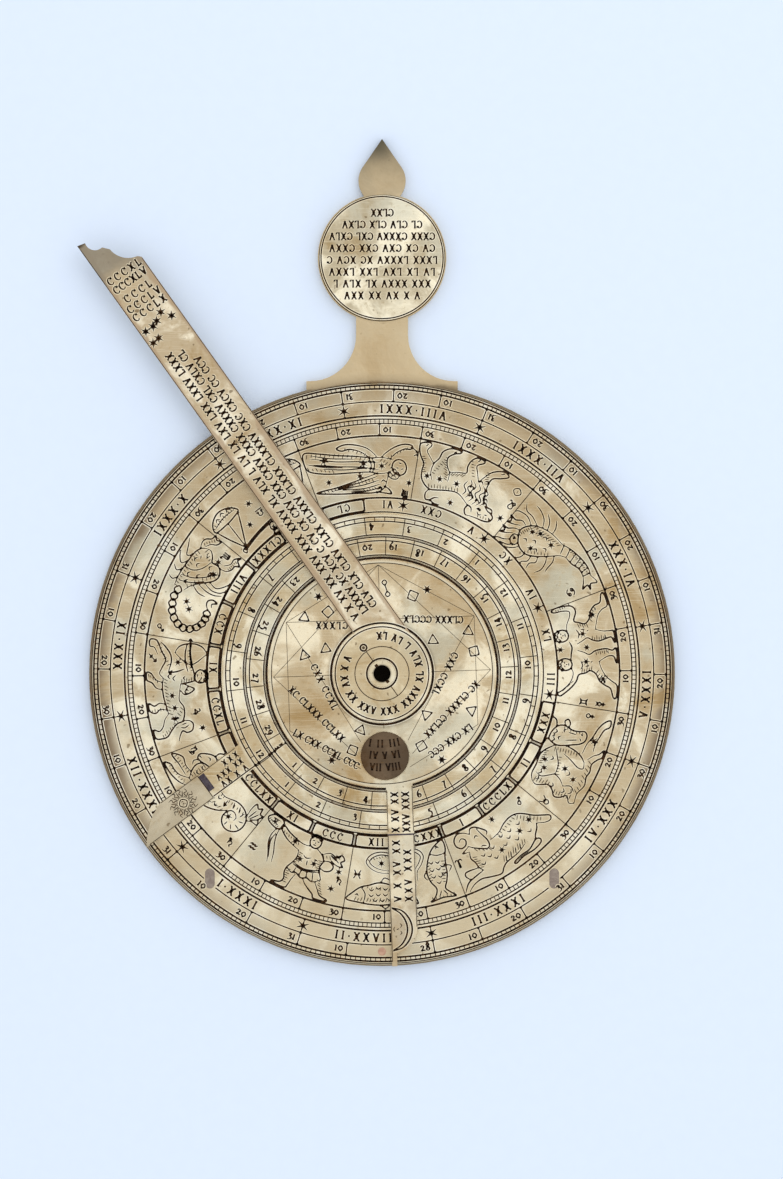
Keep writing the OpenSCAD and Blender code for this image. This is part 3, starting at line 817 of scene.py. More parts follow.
        outlines="""10 124,16 132,28 133,36 126,36 114,28 106,16 107,10 115,10 124;14 106,-4 105,-24 109,
        -44 114,-60 120,-67 117,-62 110,-44 100,-26 94,-6 89;-6 89,-4 74,-8 60,-14 46,-14 34,-10 22,
        -14 12,-28 7,-26 4,-2 5,2 14,4 26,8 40;32 106,46 98,54 86,50 72,54 58,60 46;-14 46,-2 40,8 43,
        20 37,32 41,44 37,60 46;24 38,32 28,42 20,52 12,56 5,78 5,80 9,66 14,58 26,50 38;54 86,68 88,
        78 80,74 70,62 66,52 70;46 98,64 106,80 101,92 107,100 98,92 92,98 83,84 84,70 92;-106 118,
        -96 128,-80 130,-67 125,-64 114,-74 106,-90 107,-102 111,-106 118""",
        lines="""-74 106,-77 90,-73 72,-62 54,-54 36;-68 109,-66 92,-60 76,-52 60,-46 40;-70 96,-71 80,
        -65 64,-56 46;-96 122,-76 123;-98 115,-76 113;15 120,20 121;26 121,31 120;19 112,26 112;23 118,
        23 115;8 84,16 80,26 84;34 84,42 82;-6 58,20 53,52 60;-6 62,20 57,51 64;4 53,2 42;16 52,15 39;
        28 53,30 41;40 55,44 39;66 102,80 94;74 100,88 90;20 76,22 66""",
        hatches="""-4 86 -7 64 10 -1 6;53 84 51 64 -10 0 6;-13 44 -11 16 9 0 7;60 42 72 12 -8 3 7;
        -102 112 -76 108 2 6 6;50 98 86 103 4 -8 6;-56 112 -14 104 2 -6 7""",
        curls="12 128,22 130,32 127,-86 119,84 104",
        stars="4 73,36 74,92 72,-22 102,84 34",
        signs=(("water", -94, 46), ("saturn", 96, 54))),
    "fishes": dict(
        outlines="""-112 20,-100 36,-86 48,-70 53,-50 59,-30 56,-10 46,6 34,16 46,26 50,21 30,26 10,
        14 14,4 24,-16 16,-40 12,-66 13,-90 16,-112 20;106 128,84 120,70 108,59 88,54 68,58 48,66 32,
        60 16,50 7,74 11,98 7,90 18,83 29,89 42,95 58,97 74,102 94,109 112,106 128""",
        lines="""-84 47,-76 34,-78 16;70 106,86 100,104 100;-96 30,-92 33,-89 29;86 114,90 118,94 114;
        -29 78,-54 82,-72 92,-79 104,-68 118,-46 124,-18 120,6 118,26 126,46 120,54 106,46 90,34 76,
        32 56;-29 84,-50 88,-66 96,-71 104,-62 113,-44 118,-18 114,6 112,26 120,40 115,47 106,40 93,
        29 79,26 56;-29 78,-22 86,-29 84;-46 58,-38 69,-26 64,-20 52;55 74,47 64,52 54;97 76,108 70,
        100 60;-46 12,-36 5,-26 13;12 24,20 34;12 28,21 22;74 26,68 14;78 26,84 15""",
        hatches="""-96 18 -6 18 3 9 16;98 84 88 42 -9 2 8;-80 52 -10 44 -2 -6 9;58 88 56 50 7 2 7;
        54 10 96 9 0 7 7;-76 108 -30 118 4 -4 8;16 14 24 44 -6 2 5""",
        curls="""-64 44,-50 48,-36 46,-64 32,-50 34,-36 34,-22 38,-56 22,-42 22,-28 24,-12 30,68 88,
        82 86,66 72,80 72,66 58,80 56,74 44,90 76,88 60""",
        stars="-44 100,14 96,6 62",
        signs=(("fishes", -96, 74), ("jupiter", -12, 98))),
}

# The signs of the zodiac and of the planets, about 18 tenths high
SIGNS = {
    "ram": "-8 5,-5 9,-1 6,0 -9;8 5,5 9,1 6,0 -9",
    "bull": "-8 9,-4 2,0 1,4 2,8 9;0 1,5 -4,0 -9,-5 -4,0 1",
    "twins": "-7 8,0 6,7 8;-7 -8,0 -6,7 -8;-3 6.5,-3 -6.5;3 6.5,3 -6.5",
    "crab": "8 4,2 8,-6 6,-7 2,-3 1,-1 4,-5 6;-8 -4,-2 -8,6 -6,7 -2,3 -1,1 -4,5 -6",
    "lion": "-4 -2,-7 -5,-4 -8,-1 -5,-4 -2;-2 -3,-5 5,0 9,5 5,2 -4,5 -9,8 -7",
    "virgin": "-8 7,-6 5,-6 -7;-6 4,-3 8,-1 4,-1 -7;-1 4,2 8,4 4,4 -5,8 -10;4 3,8 4,7 -2,2 -8",
    "scales": "-8 -6,8 -6;-8 -1,-3 -1,-5 5,0 8,5 5,3 -1,8 -1",
    "scorpion": "-8 7,-6 5,-6 -7;-6 4,-3 8,-1 4,-1 -7;-1 4,2 8,4 4,4 -6,9 -7;7 -4,9.5 -7,7 -10",
    "archer": "-7 -8,7 8;1 8,7 8,7 2;-6 0,1 -6",
    "goat": "-8 7,-5 6,-4 -5;-4 3,0 8,2 3,1 -8,-3 -10;1 -3,6 -1,7 -6,3 -8,1 -4",
    "water": "-8 2,-4 6,-2 2,2 6,4 2,8 6;-8 -6,-4 -2,-2 -6,2 -2,4 -6,8 -2",
    "fishes": "-7 9,-3 0,-7 -9;7 9,3 0,7 -9;-7 0,7 0",
    "mars": "2 -3,-2 1,-6 -3,-2 -7,2 -3;1 0,7 7;2 7,7 7,7 2",
    "venus": "0 1,4.5 5,0 9.5,-4.5 5,0 1;0 1,0 -9;-4 -4,4 -4",
    "mercury": "0 1,4 4,0 8,-4 4,0 1;0 1,0 -9;-4 -4,4 -4;-4 12,0 8,4 12",
    "jupiter": "-6 6,-1 8,1 3,-6 -3,7 -3;4 3,4 -9",
    "saturn": "-3 9,-3 -5;-6 6,1 6;-3 0,2 3,5 -1,2 -6,5 -9",
    "sun": "8 0,0 8,-8 0,0 -8,8 0;0 -1,0 1",
}


# Strokes shared by the engravings

def roman(number):
    text = ""
    for value, letters in ((100, "C"), (90, "XC"), (50, "L"), (40, "XL"), (10, "X"),
                           (9, "IX"), (5, "V"), (4, "IV"), (1, "I")):
        text += letters * (number // value)
        number %= value
    return text


def numeral_row(engraving, first, length, height, place, start=None, step=5):
    """A row of counted Roman numerals, spaced to fill a length. Gives the number to go on with."""
    text = roman(first)
    number = first + step
    while text_width(text + " " + roman(number), height, LETTER_GAP) < length:
        text += " " + roman(number)
        number += step
    spare = (length - text_width(text, height, LETTER_GAP)) / height / max(1, len(text) - 1)
    engraving.text(text, height, place, start, LETTER_GAP + min(max(spare, 0), MOST_SPARE))
    return number


def numeral_rows(engraving, number, height, rows, start=None):
    """Rows of numerals that count on from one to the next, each with its length and place."""
    for length, place in rows:
        number = numeral_row(engraving, number, length, height, place, start)


def engrave_hatching(engraving, place, row):
    """A row of short strokes, every other one shorter."""
    x0, y0, x1, y1, dx, dy, count = (int(number) for number in row.split())
    for i in range(count):
        x = x0 + (x1 - x0) * i / (count - 1)
        y = y0 + (y1 - y0) * i / (count - 1)
        reach = SHORT_STROKE if i % 2 else 1.0
        engraving.stroke([(x, y), (x + dx * reach, y + dy * reach)], HATCH, place)


def engrave_figure(engraving, place, figure):
    """One zodiac figure, on a place whose unit is a tenth of a millimetre."""
    for outline in strokes(figure["outlines"]):
        engraving.stroke(outline, OUTLINE, place)
    for line in strokes(figure["lines"]):
        engraving.stroke(line, DETAIL, place)
    for row in figure["hatches"].split(";"):
        engrave_hatching(engraving, place, row)
    for x, y in points(figure["curls"]):
        engraving.stroke(points("-5 2.5,0 -2.5,5 2"), DETAIL, shifted(place, x, y))
    for x, y in points(figure.get("beads", "")):
        engraving.stroke(points("8 0,0 8,-8 0,0 -8,8 0"), OUTLINE, shifted(place, x, y))
    for x, y in points(figure["stars"]):
        engraving.star(shifted(place, x, y), FIGURE_STAR, FINE)
    for name, x, y in figure["signs"]:
        for stroke in strokes(SIGNS[name]):
            engraving.stroke(stroke, DETAIL, shifted(place, x, y), taper=False)


# Calendar plate

def day_angle(day):
    """The direction at which a day of the year ends, in degrees."""
    year = sum(MONTH_DAYS)
    return YEAR_START + 360 * day / year + SUN_SWAY * math.sin(math.tau * (day - FASTEST_DAY) / year)


def build_calendar():
    """Ring lines, ladders and numbers of the degrees, months and days."""
    plate = Engraving("calendar_engraving", "base", "calendar_plate", FIXINGS)
    number_drop = 0.75
    month_drop = 0.6
    month_gap = 0.42
    month_star = 1.35
    for radius in (PLATE_SHADOW_R, DEGREE_TICKS_IN, DEGREE_TICKS_OUT, MONTHS_OUT):
        plate.ring(radius, MEDIUM)
    for radius in (FIGURES_IN, FIGURES_OUT, MONTHS_IN, DAY_TICKS_IN, DAY_TICKS_OUT):
        plate.ring(radius, BOLD)
    plate.ring(RIM_LINE_R, FINE)
    for degree in range(360):
        plate.spoke(ZODIAC_START + degree, DEGREE_TICKS_IN, DEGREE_TICKS_OUT, FINE)
    for degree in range(10, 361, 10):
        angle = ZODIAC_START + degree
        number = str((degree - 1) % SIGN_TURN + 1)
        plate.spoke(angle, FIGURES_OUT, DEGREE_TICKS_IN, MEDIUM)
        plate.text_before(number, DEGREE_TEXT, on_ring(DEGREE_TICKS_IN - number_drop, angle))
    for day in range(sum(MONTH_DAYS)):
        plate.spoke(day_angle(day), DAY_TICKS_IN, DAY_TICKS_OUT, FINE)
    first = 0
    for month, days in enumerate(MONTH_DAYS, start=1):
        for day in (10, 20, days):
            angle = day_angle(first + day)
            plate.spoke(angle, MONTHS_OUT, DAY_TICKS_IN, MEDIUM)
            plate.text_before(str(day), DAY_TEXT, on_ring(DAY_TICKS_IN - number_drop, angle))
        middle = on_ring(MONTHS_OUT - month_drop, day_angle(first + days / 2))
        plate.text(roman(month) + "." + roman(days), MONTH_TEXT, middle, gap=month_gap)
        first += days
        plate.star(on_ring((MONTHS_IN + MONTHS_OUT) / 2, day_angle(first)), month_star)
    return plate


def engrave_panel(plate, start, end):
    """A framed name panel, whose inner line is heavier on the dial's shaded left side."""
    strut = 0.5
    shade_start = -0.5
    shaded = math.cos(math.radians((start + end) / 2)) < shade_start
    sides = (start + strut, end - strut)
    plate.line(arc(PANEL_IN, *sides), BOLD if shaded else MEDIUM)
    plate.line(arc(PANEL_OUT, *sides), MEDIUM)
    for side in sides:
        plate.spoke(side, PANEL_IN, PANEL_OUT, BOLD)


def build_zodiac():
    """The twelve signs: their figures, dividing lines and name panels."""
    plate = Engraving("zodiac_engraving", "base", "calendar_plate")
    panel_turn = SIGN_TURN / 2
    name_drop = 0.45
    name_gap = 0.34
    name_star = 1.25
    star_turn = 2.2
    for number, figure in enumerate(ZODIAC.values()):
        start = ZODIAC_START + SIGN_TURN * number
        middle = start + panel_turn
        plate.spoke(start, FIGURES_IN, FIGURES_OUT, FINE)
        engrave_figure(plate, on_figure(middle), figure)
        for half, value in ((start, number + 1), (middle, SIGN_TURN * number or 360)):
            if not PLAIN_FROM <= half - ZODIAC_START < PLAIN_TO:
                engrave_panel(plate, half, half + panel_turn)
            place = on_ring(PANEL_OUT - name_drop, half + panel_turn / 2)
            plate.text(roman(value), NAME_TEXT, place, gap=name_gap)
        if PLAIN_FROM <= start - ZODIAC_START < PLAIN_TO:
            plate.star(on_ring((PANEL_IN + PANEL_OUT) / 2, start + star_turn), name_star)
    return plate


# Handle

def roundel_circle():
    """Centre and radius of the handle's roundel."""
    low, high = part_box("handle_roundel")
    return ((low.x + high.x) / 2 / MM, (low.y + high.y) / 2 / MM), (high.x - low.x) / 2 / MM


def build_head():
    """A dark line on the handle's head close round its roundel, painted shadow of the roundel's edge."""
    head = Engraving("roundel_shadow_line", "base", "back_plate")
    centre, radius = roundel_circle()
    head.ring(radius + ROUNDEL_LINE, FINE, centre)
    return head


def build_roundel():
    """Rows of numerals on the handle's roundel, which read with the dial upside down."""
    roundel = Engraving("roundel_engraving", "base", "handle_roundel")
    centre, radius = roundel_circle()
    # A dark line just inside the roundel's edge, painted shade of its raised edge.
    roundel.ring(radius - ROUNDEL_LINE, MEDIUM, centre)
    lowest_row = centre[1] - 8.0 + ROW_TEXT / 2
    row_step = 2.5
    lengths = (16, 20.5, 22.4, 23.4, 22.3, 22.3, 16.9, 4.7)
    rows = [(length, on_line((centre[0], lowest_row + row_step * row), 180))
            for row, length in enumerate(lengths)]
    numeral_rows(roundel, 5, ROW_TEXT, rows)
    return roundel


# Sun disc

def build_sun():
    """Rings of the moon's ages and of the hours, and rows of numerals on the pointer's root."""
    disc = Engraving("sun_engraving", "sun", "sun_disc")
    disc.ring(DISC_SHADOW_R, HEAVY)
    for radius in (AGES_IN, AGES_OUT, AGE_TICKS_OUT, HOURS_IN, HOURS_OUT, HOUR_TICKS_OUT):
        disc.ring(radius, MEDIUM)
    number_drop = 0.7
    age_turn = 360 / MOON_AGE
    for day in range(1, math.ceil(MOON_AGE)):
        angle = SUN_TURN + day * age_turn
        disc.spoke(angle, AGES_IN, AGE_TICKS_OUT, FINE)
        disc.text_before(str(day), RING_TEXT, on_ring(AGES_OUT - number_drop, angle))
    half_start = -0.9
    for part, drop in (("1", 1.5), ("2", 0.35)):
        disc.text(part, HALF_TEXT, on_ring(AGES_OUT - drop, SUN_TURN), half_start)
    hour_turn = 15
    for hour in range(1, 25):
        angle = SUN_TURN + hour_turn * hour
        disc.spoke(angle, HOURS_IN, HOUR_TICKS_OUT, FINE)
        disc.text_before(str((hour - 1) % 12 + 1), RING_TEXT, on_ring(HOURS_OUT - number_drop, angle))
        for quarter in range(4):
            disc.spoke(angle + hour_turn / 4 * quarter, HOURS_OUT, HOUR_TICKS_OUT, FINE)
    reading_edge = -0.3
    far_edge_start = HOUR_TICKS_OUT + 1.4
    disc.edge(SUN_TURN, AGES_IN, SUN_ROOT, reading_edge, MEDIUM)
    # Painted shade along the pointer's far side.
    disc.edge(SUN_TURN, far_edge_start, SUN_ROOT, EDGE_IN - SUN_POINTER_W)
    row_start = 34.6
    row_length = 6.6
    rows = [(row_length, on_line((row_start, -across - SUN_ROW_TEXT / 2), 0, SUN_TURN))
            for across in (1.2, 2.9, 4.6)]
    numeral_rows(disc, 5, SUN_ROW_TEXT, rows, start=0)
    return disc


def build_sun_tip():
    """The sun on the mended tip: a small face in a ring of straight and wavy rays."""
    tip = Engraving("sun_tip_engraving", "sun", "sun_pointer_tip")
    place = on_line((50.0, -2.9), 0, SUN_TURN)
    tip.stroke(points("0.9 0,0 0.9,-0.9 0,0 -0.9,0.9 0"), DETAIL, place)
    face = "-0.4 0.25,-0.15 0.3;0.15 0.3,0.4 0.25;0 0.2,0 -0.1;-0.25 -0.35,0 -0.45,0.25 -0.35"
    for stroke in strokes(face):
        tip.stroke(stroke, HATCH, place)
    joint_x = SUN_ROOT + 0.2
    # Painted shade along both sides of the tip.
    for across, end in ((-EDGE_IN, DAY_TICKS_OUT), (EDGE_IN - SUN_POINTER_W, SUN_TAPER)):
        tip.edge(SUN_TURN, joint_x, end, across)
    joint = on_line((joint_x, 0), -90, SUN_TURN)
    tip.line([joint(EDGE_IN, 0), joint(SUN_POINTER_W - EDGE_IN, 0)], FINE)
    rays = 24
    ray_start = 1.2
    for ray in range(rays):
        angle = 360 * ray / rays
        wave, reach = (6, 3.1) if ray % 2 else (0, 2.6)
        knots = [polar(ray_start + (reach - ray_start) * k / 4, angle + wave * (-1) ** k) for k in range(5)]
        tip.stroke(knots, FINE, place)
    return tip


def build_phase():
    """Faint numbers on the dark ring, seen through the moon's window."""
    ring = Engraving("phase_engraving", "sun", "phase_ring")
    row_length = 6.8
    last_day = 30
    number = 1
    for turn in range(0, 360, 45):
        for radius in (15.6, 18.1, 20.6):
            place = on_ring(radius, MOON_TURN + turn)
            number = numeral_row(ring, number, row_length, ROW_TEXT, place, step=1) % last_day or 1
    return ring


# Moon disc

# Aspect marks by their number of sides, the mark of opposition, and rows of numerals with their letter gaps
# and ends, all at their places at rest
ASPECT_MARKS = {
    3: "-16.4 3.8, -11.9 5.2, 10.8 7, 9.4 -8.7, 18.9 -7.8, -4.5 -12, -16.4 11.8, 18.2 8.9",
    4: "19.4 4.7, -6.2 -16.2, 8.3 -15.3, -11.4 13, 6.5 16.4",
    6: "-10.6 -18.3, 12.6 -18.2, -13.4 16.2, 9.5 17.7",
}
OPPOSITION = """0.5 19.7, 1 19.2, 0.5 18.7, 0 19.2, 0.5 19.7; 0.6 18.7, 1.1 17.2;
    1.2 17.2, 1.7 16.7, 1.2 16.2, 0.7 16.7, 1.2 17.2"""
ASPECT_ROWS = (
    ("CXX CCXL", 0.24, "-15.2 3.2, -9 -8.9"),
    ("XC CLXXX CCLXX", 0.1, "-19.7 -2.8, -7.8 -14.4"),
    ("LX CXX CCXL CCC", 0.06, "-18.4 -12.4, -5 -19.6"),
    ("CXX CCXL", 0.18, "15.6 4.4, 11 -4.6"),
    ("XC CLXXX CCLXX", 0.1, "19.9 -2.2, 9.5 -13"),
    ("LX CXX CCC", 0.1, "19.2 -10.9, 9.6 -17.6"),
    ("CLXXX", 0.24, "-7 10.1, -14.2 10.1"),
    ("CLXXX CCCLX", 0.1, "17 11.3, 4.6 11.5"),
)


def engrave_aspects(disc):
    """Lines between the aspects, their marks and their rows of numerals."""
    corner_r = 22.9
    line_r = 23.3
    mark_size = 1.3
    star_size = 1.0
    for sides in ASPECT_MARKS:
        ends = corners(corner_r, sides, MOON_TURN)
        for k in range(sides):
            disc.line(straight(ends[k - 1], ends[k]), HAIR)
    for turn in (MOON_TURN, MOON_TURN + 90):
        disc.line(straight(polar(corner_r, turn), polar(-corner_r, turn)), HAIR)
    disc.ring(line_r, FINE)
    for sides, places in ASPECT_MARKS.items():
        for x, y in points(places):
            place = on_ring(math.hypot(x, y), math.degrees(math.atan2(y, x)))
            if sides == 6:
                disc.star(place, star_size)
            else:
                mark = [place(*corner) for corner in corners(mark_size, sides, 90 if sides == 3 else 45)]
                for k in range(sides):
                    disc.line([mark[k - 1], mark[k]], DETAIL)
    for stroke in strokes(OPPOSITION):
        disc.stroke(stroke, DETAIL, on_line((0, 0), 0))
    for name, gap, ends in ASPECT_ROWS:
        disc.text_between(name, ASPECT_TEXT, *points(ends), gap)


def engrave_pointer_rows(engraving, first, outer_end, length):
    """Two rows of numerals on the moon's pointer, from their outer end towards the pivot."""
    rows = [(length, on_line((outer_end, across + ROW_TEXT / 2), 180, MOON_TURN)) for across in (1.7, 4.0)]
    numeral_rows(engraving, first, ROW_TEXT, rows, start=0)


def build_moon():
    """The aspects on the moon disc, and the root of its pointer."""
    openings = ((polar(WINDOW_X, MOON_TURN), WINDOW_CLEAR), ((0, 0), HUB_CLEAR))
    disc = Engraving("moon_engraving", "moon", "moon_disc", openings)
    disc.ring(HUB_SHADOW_R, HEAVY)
    engrave_aspects(disc)
    engrave_pointer_rows(disc, 10, MOON_ROOT, 8.6)
    edge_end = MOON_ROOT - 0.2
    # Painted shade along both sides of the pointer's root.
    for start, across in ((24.6, EDGE_IN), (23.9, MOON_POINTER_W - EDGE_IN)):
        disc.edge(MOON_TURN, start, edge_end, across)
    return disc


def build_moon_tip():
    """Two rows of numerals and a crescent with a face on the moon's pointer."""
    tip = Engraving("moon_tip_engraving", "moon", "moon_pointer_tip")
    engrave_pointer_rows(tip, 5, 48.2, 13)
    edge_start = MOON_ROOT + 0.4
    # Painted shade along both sides of the pointer.
    for across, end in ((EDGE_IN, DAY_TICKS_OUT), (MOON_POINTER_W - EDGE_IN, CRESCENT_X)):
        tip.edge(MOON_TURN, edge_start, end, across)
    place = on_line((54.0, 0), 0, MOON_TURN)
    crescent = """-4.6 0.3,-3.9 2.4,-2.2 3.9,0 4.5,2.2 3.9,3.9 2.4,4.6 0.3;
        -4.4 0.3,-3.4 2,-1.8 3.1,0 3.5,1.8 3.1,3.4 2,4.4 0.3"""
    face = "-1.2 1.9,-0.8 2.3,-0.3 2;0.4 2,0.8 2.3,1.2 1.9;-0.1 1.7,0.1 1.2;-0.5 0.8,0 0.6,0.5 0.8"
    for drawing, width in ((crescent, BOLD), (face, FINE)):
        for stroke in strokes(drawing):
            tip.stroke(stroke, width, place)
    return tip


# Index arm

def build_arm():
    """Rows of numerals along the arm and across its end, and the stars between them."""
    arm = Engraving("arm_engraving", "arm", "index_arm")
    hub_shadow_line_r = HUB_SHADOW_R - 0.1
    far_edge_start = 5.6
    # A painted shadow line where the hub's edge lies on the arm, going on from the one on the moon disc.
    arm.line(arc(hub_shadow_line_r, ARM_TURN - 63, ARM_TURN - 1), BOLD)
    # Painted shade along both sides of the arm.
    arm.edge(ARM_TURN, HUB_SHADOW_R, ARM_TIP, -EDGE_IN)
    arm.edge(ARM_TURN, far_edge_start, ARM_SHOULDER, EDGE_IN - ARM_W)
    row_start = 12.5
    rows = [(end - row_start, on_line((row_start, -across - ARM_TEXT / 2), 0, ARM_TURN))
            for across, end in ((2.4, 81), (4.7, 80), (6.9, 77))]
    numeral_rows(arm, 5, ARM_TEXT, rows, start=0)
    short_length = 8.2
    short_rows = [(short_length, on_line((along - ARM_TEXT / 2, -ARM_W / 2), -90, ARM_TURN))
                  for along in (100.4, 98.2, 95.4, 93.2, 91.1)]
    numeral_rows(arm, 340, ARM_TEXT, short_rows)
    star_size = 1.05
    for along, across in points("89 6.25, 87.1 7.7, 88 4.5, 87.5 3.2, 87.5 1.3, 84.8 2.7, 84.6 1.2"):
        arm.star(on_line((along, -across), 0, ARM_TURN), star_size)
    return arm


def build_hub():
    """Rings, minutes and a dividing line on the hub disc, and the dark ring on its rivet."""
    hub = Engraving("hub_engraving", "arm", "hub_disc")
    rim_r = 9.85
    text_r = 8.75
    middle_r = 5.7
    bore_r = 3.2
    rivet_ring_r = 0.7
    for radius, width in ((rim_r, MEDIUM), (middle_r, FINE), (bore_r, BOLD)):
        hub.ring(radius, width)
    hub.ring(rivet_ring_r, BOLD, polar(HUB_RIVET_X, ARM_TURN))
    for turn in (ARM_TURN, ARM_TURN + 180):
        hub.spoke(turn, bore_r, middle_r - 0.1, FINE)
    minutes = " ".join(roman(minute) for minute in range(5, 61, 5))
    hub.text(minutes, HUB_TEXT, on_ring(text_r, ARM_TURN + 180), gap=0.2)
    return hub


def build_screw():
    """Painted shade on the floors of the pivot screw's spanner notches."""
    screw = Engraving("notch_shade", "base", "pivot_screw")
    screw.face -= NOTCH_DEPTH
    for turn in (ARM_TURN, ARM_TURN + 180):
        notch = [polar(NOTCH_IN, turn), polar(NOTCH_OUT, turn)]
        screw.prism(notch, [NOTCH_W, NOTCH_W], False, PROUD, 0)
    return screw


# Stage

# Light of the studio's walls and of its ceiling, which the camera's stand darkens.
HORIZON_LIGHT = 1.4
ZENITH_LIGHT = 0.8

# The floor and the soft lamp, in metres, radians and watts. The floor lies a hair under the dial.
FLOOR_SIZE = 4.0
FLOOR_DEPTH = 0.02
FLOOR_DROP = 0.00005
LAMP_SIZE = 0.7
LAMP_POWER = 1.2
LAMP_PLACE = (0.35, 0.45, 0.8)
LAMP_TILT = (-0.5, 0.41, 0)


def build_stage():
    """The floor, the studio's light and the lamp."""
    ends = [(x * FLOOR_SIZE / 2, y * FLOOR_SIZE / 2, z)
            for z in (-FLOOR_DROP - FLOOR_DEPTH, -FLOOR_DROP) for y in (-1, 1) for x in (-1, 1)]
    sides = [(0, 2, 3, 1), (4, 5, 7, 6), (0, 1, 5, 4), (1, 3, 7, 5), (3, 2, 6, 7), (2, 0, 4, 6)]
    slab = bpy.data.meshes.new("floor")
    slab.from_pydata(ends, [], sides)
    slab.materials.append(floor_paint())
    floor = add_object("floor", slab)
    world = bpy.data.worlds.new("studio")
    bpy.context.scene.world = world
    world.use_nodes = True
    sky = world.node_tree
    sky.nodes["Background"].inputs["Color"].default_value = (1, 1, 1, 1)
    direction = sky.nodes.new("ShaderNodeTexCoord")
    parts = sky.nodes.new("ShaderNodeSeparateXYZ")
    height = sky.nodes.new("ShaderNodeMapRange")
    height.inputs["To Min"].default_value = HORIZON_LIGHT
    height.inputs["To Max"].default_value = ZENITH_LIGHT
    sky.links.new(direction.outputs["Generated"], parts.inputs["Vector"])
    sky.links.new(parts.outputs["Z"], height.inputs["Value"])
    sky.links.new(height.outputs["Result"], sky.nodes["Background"].inputs["Strength"])
    light = bpy.data.lights.new("softbox", "AREA")
    light.shape = "DISK"
    light.size = LAMP_SIZE
    light.energy = LAMP_POWER
    softbox = add_object("softbox", light)
    softbox.location = LAMP_PLACE
    softbox.rotation_euler = LAMP_TILT
    bpy.context.scene.view_settings.view_transform = "Standard"


def build_camera():
    """Straight down and framed as the photograph, whose middle lies between the pivot and the handle."""
    frame_height = 249.1
    view_centre = (2.0, 17.7)
    plate_height = 2.6
    lens = 100.0
    sensor = 36.0
    camera = bpy.data.cameras.new("camera")
    camera.lens = lens
    camera.sensor_width = sensor
    rig = add_object("camera", camera)
    distance = frame_height * lens / sensor
    rig.location = (view_centre[0] * MM, view_centre[1] * MM, (plate_height + distance) * MM)
    bpy.context.scene.camera = rig


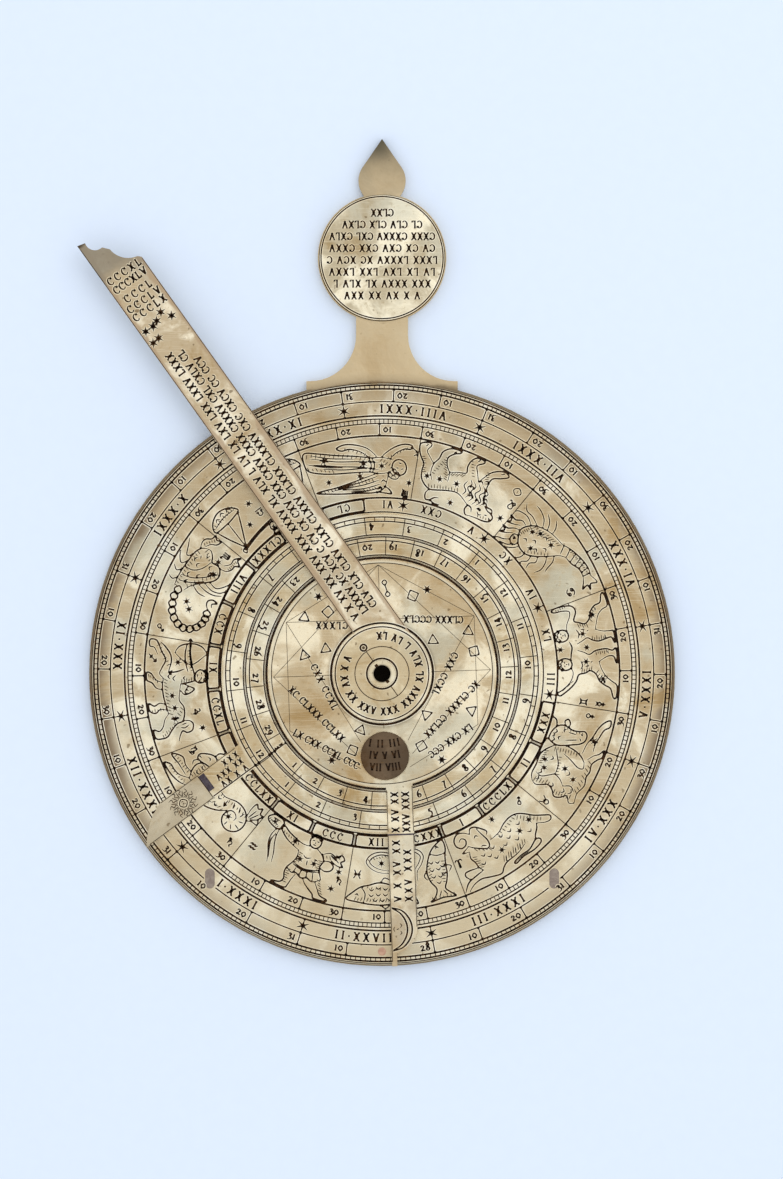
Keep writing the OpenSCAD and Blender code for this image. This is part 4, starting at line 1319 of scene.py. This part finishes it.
def dress_nodes():
    """Gives every CAD node its metal. Gives back the dark brass, for the numbers on the phase ring."""
    tan = srgb(202, 184, 150)
    # A pale tone, partly patina and partly painted sheen.
    cream_and_sheen = srgb(250, 241, 214)
    grey = srgb(200, 197, 176)
    worn = srgb(148, 138, 120)
    # Painted shade for the top of the calendar.
    top_shade = srgb(168, 148, 116)
    # Painted shade for the arm's bevelled sides.
    bevel_shade = srgb(182, 158, 128)
    # Painted highlight for the bevelled edges of the sun and moon discs.
    bevel_highlight = srgb(226, 216, 190)
    warm_grey = srgb(200, 194, 176)
    # The rim band is dirt and painted shade at the back plate's edge and at the neck's root under the
    # calendar plate.
    base = old_brass("brass_base", srgb(202, 181, 144), srgb(216, 198, 162), grey, rub=0.3,
                     rings=((60.9, 64.0, RIM_GRIME_AND_SHADE),),
                     shades=((90, 60.4, 61.4, srgb(204, 184, 148), 0.65),
                             (90, 101, 103, srgb(134, 124, 106), 0.27),
                             (90, 103, 115, srgb(80, 76, 62), 0.95)))
    # Dirt and painted shade under the sun disc's edge and at the rim, a lighter band over the degree ladder,
    # and painted light: the top darker and the bottom lighter.
    calendar = old_brass("brass_calendar", tan, cream_and_sheen, grey, rub=0.75, rim=57.0,
                         rings=((33.7, 34.6, GRIME_AND_SHADE), (52.8, 54.2, POLISH_AND_HIGHLIGHT), (61.05, 65.0, RIM_GRIME_AND_SHADE)),
                         shades=((90, 20, 55, top_shade, 0.45), (270, 10, 50, srgb(222, 209, 178), 0.5)))
    # Dirt and painted shade under the moon disc's edge, and a painted highlight on the sun disc's bevelled
    # edge.
    sun = old_brass("brass_sun", srgb(204, 185, 148), cream_and_sheen, grey, rub=0.6,
                    rings=((24.0, 24.9, GRIME_AND_SHADE), (33.1, 34.0, bevel_highlight)))
    # Dirt and painted shade round the hub, and a painted highlight on the moon disc's bevelled edge.
    moon = old_brass("brass_moon", srgb(202, 182, 146), srgb(250, 238, 208), grey, rub=0.6,
                     rings=((10.3, 11.9, GRIME_AND_SHADE), (23.4, 24.2, bevel_highlight)))
    # Bands of painted shade along the arm's bevelled sides.
    arm = old_brass("brass_arm", srgb(200, 181, 148), srgb(252, 242, 216), warm_grey, rub=0.5,
                    shades=((ARM_TURN - 90, 8.6, 9.2, bevel_shade, 0.8), (ARM_TURN + 90, -1.2, -0.6, bevel_shade, 0.8),
                            (ARM_TURN, 99, 104, worn, 0.9),
                            (ARM_TURN, ARM_TIP, 110.2, srgb(70, 58, 44), 0.9)))
    pointer = old_brass("brass_pointer", srgb(200, 181, 148), srgb(240, 228, 198), warm_grey, rub=0.5)
    # A painted highlight on the hub's bevelled edge.
    hub = old_brass("brass_hub", srgb(208, 190, 154), srgb(238, 225, 192), grey, rub=0.4,
                    rings=((9.7, 10.6, POLISH_AND_HIGHLIGHT),))
    roundel = old_brass("brass_roundel", srgb(194, 181, 152), srgb(252, 243, 216), srgb(208, 205, 186),
                        rub=0.6)
    # Dirt and painted shade darken the mouth and wall of the screw's bore.
    screw = old_brass("brass_screw", srgb(222, 208, 176), srgb(248, 240, 214), grey,
                      rings=((1.6, 2.2, GRIME_AND_SHADE),))
    dull = old_brass("brass_dull", srgb(194, 181, 154), srgb(212, 200, 173), srgb(180, 178, 160), rub=0.6)
    dark = old_brass("brass_dark", srgb(103, 84, 65), srgb(124, 104, 82), srgb(80, 70, 58), rub=0.4)
    steel = plain_metal("grey_steel", srgb(142, 128, 118), srgb(160, 148, 136), 0.5)
    lead = plain_metal("solder", srgb(66, 58, 66), srgb(92, 84, 90), 0.5)
    rivet = plain_metal("rivet_steel", srgb(100, 84, 62), srgb(66, 52, 38), 0.5)
    copper = plain_metal("copper", srgb(192, 150, 128), srgb(206, 170, 146), 0.45)
    finishes = {
        "back_plate": base, "handle_roundel": roundel, "calendar_plate": calendar,
        "plate_tenons": steel, "plate_rivet": copper, "pivot_screw": screw, "pivot_nut": base,
        "sun_disc": sun, "phase_ring": dark, "sun_pointer_tip": dull, "sun_pointer_solder": lead,
        "moon_disc": moon, "moon_pointer_tip": pointer, "moon_pointer_solder": lead,
        "index_arm": arm, "hub_disc": hub, "hub_rivet": rivet,
    }
    for node, material in finishes.items():
        nodes[node].data.materials.clear()
        nodes[node].data.materials.append(material)
    return dark


build_stage()
build_camera()
dark_brass = dress_nodes()
fill = engraving_fill()
# The burr's pale brass is a painted highlight of engraved edges catching light.
burr_highlight = old_brass("brass_burr_highlight", srgb(234, 221, 190), srgb(254, 248, 228), srgb(236, 232, 214))
for build in (build_calendar, build_zodiac, build_head, build_roundel, build_sun, build_sun_tip, build_moon,
              build_moon_tip, build_arm, build_hub, build_screw):
    build().finish((fill, burr_highlight))
build_phase().finish((fill, dark_brass))
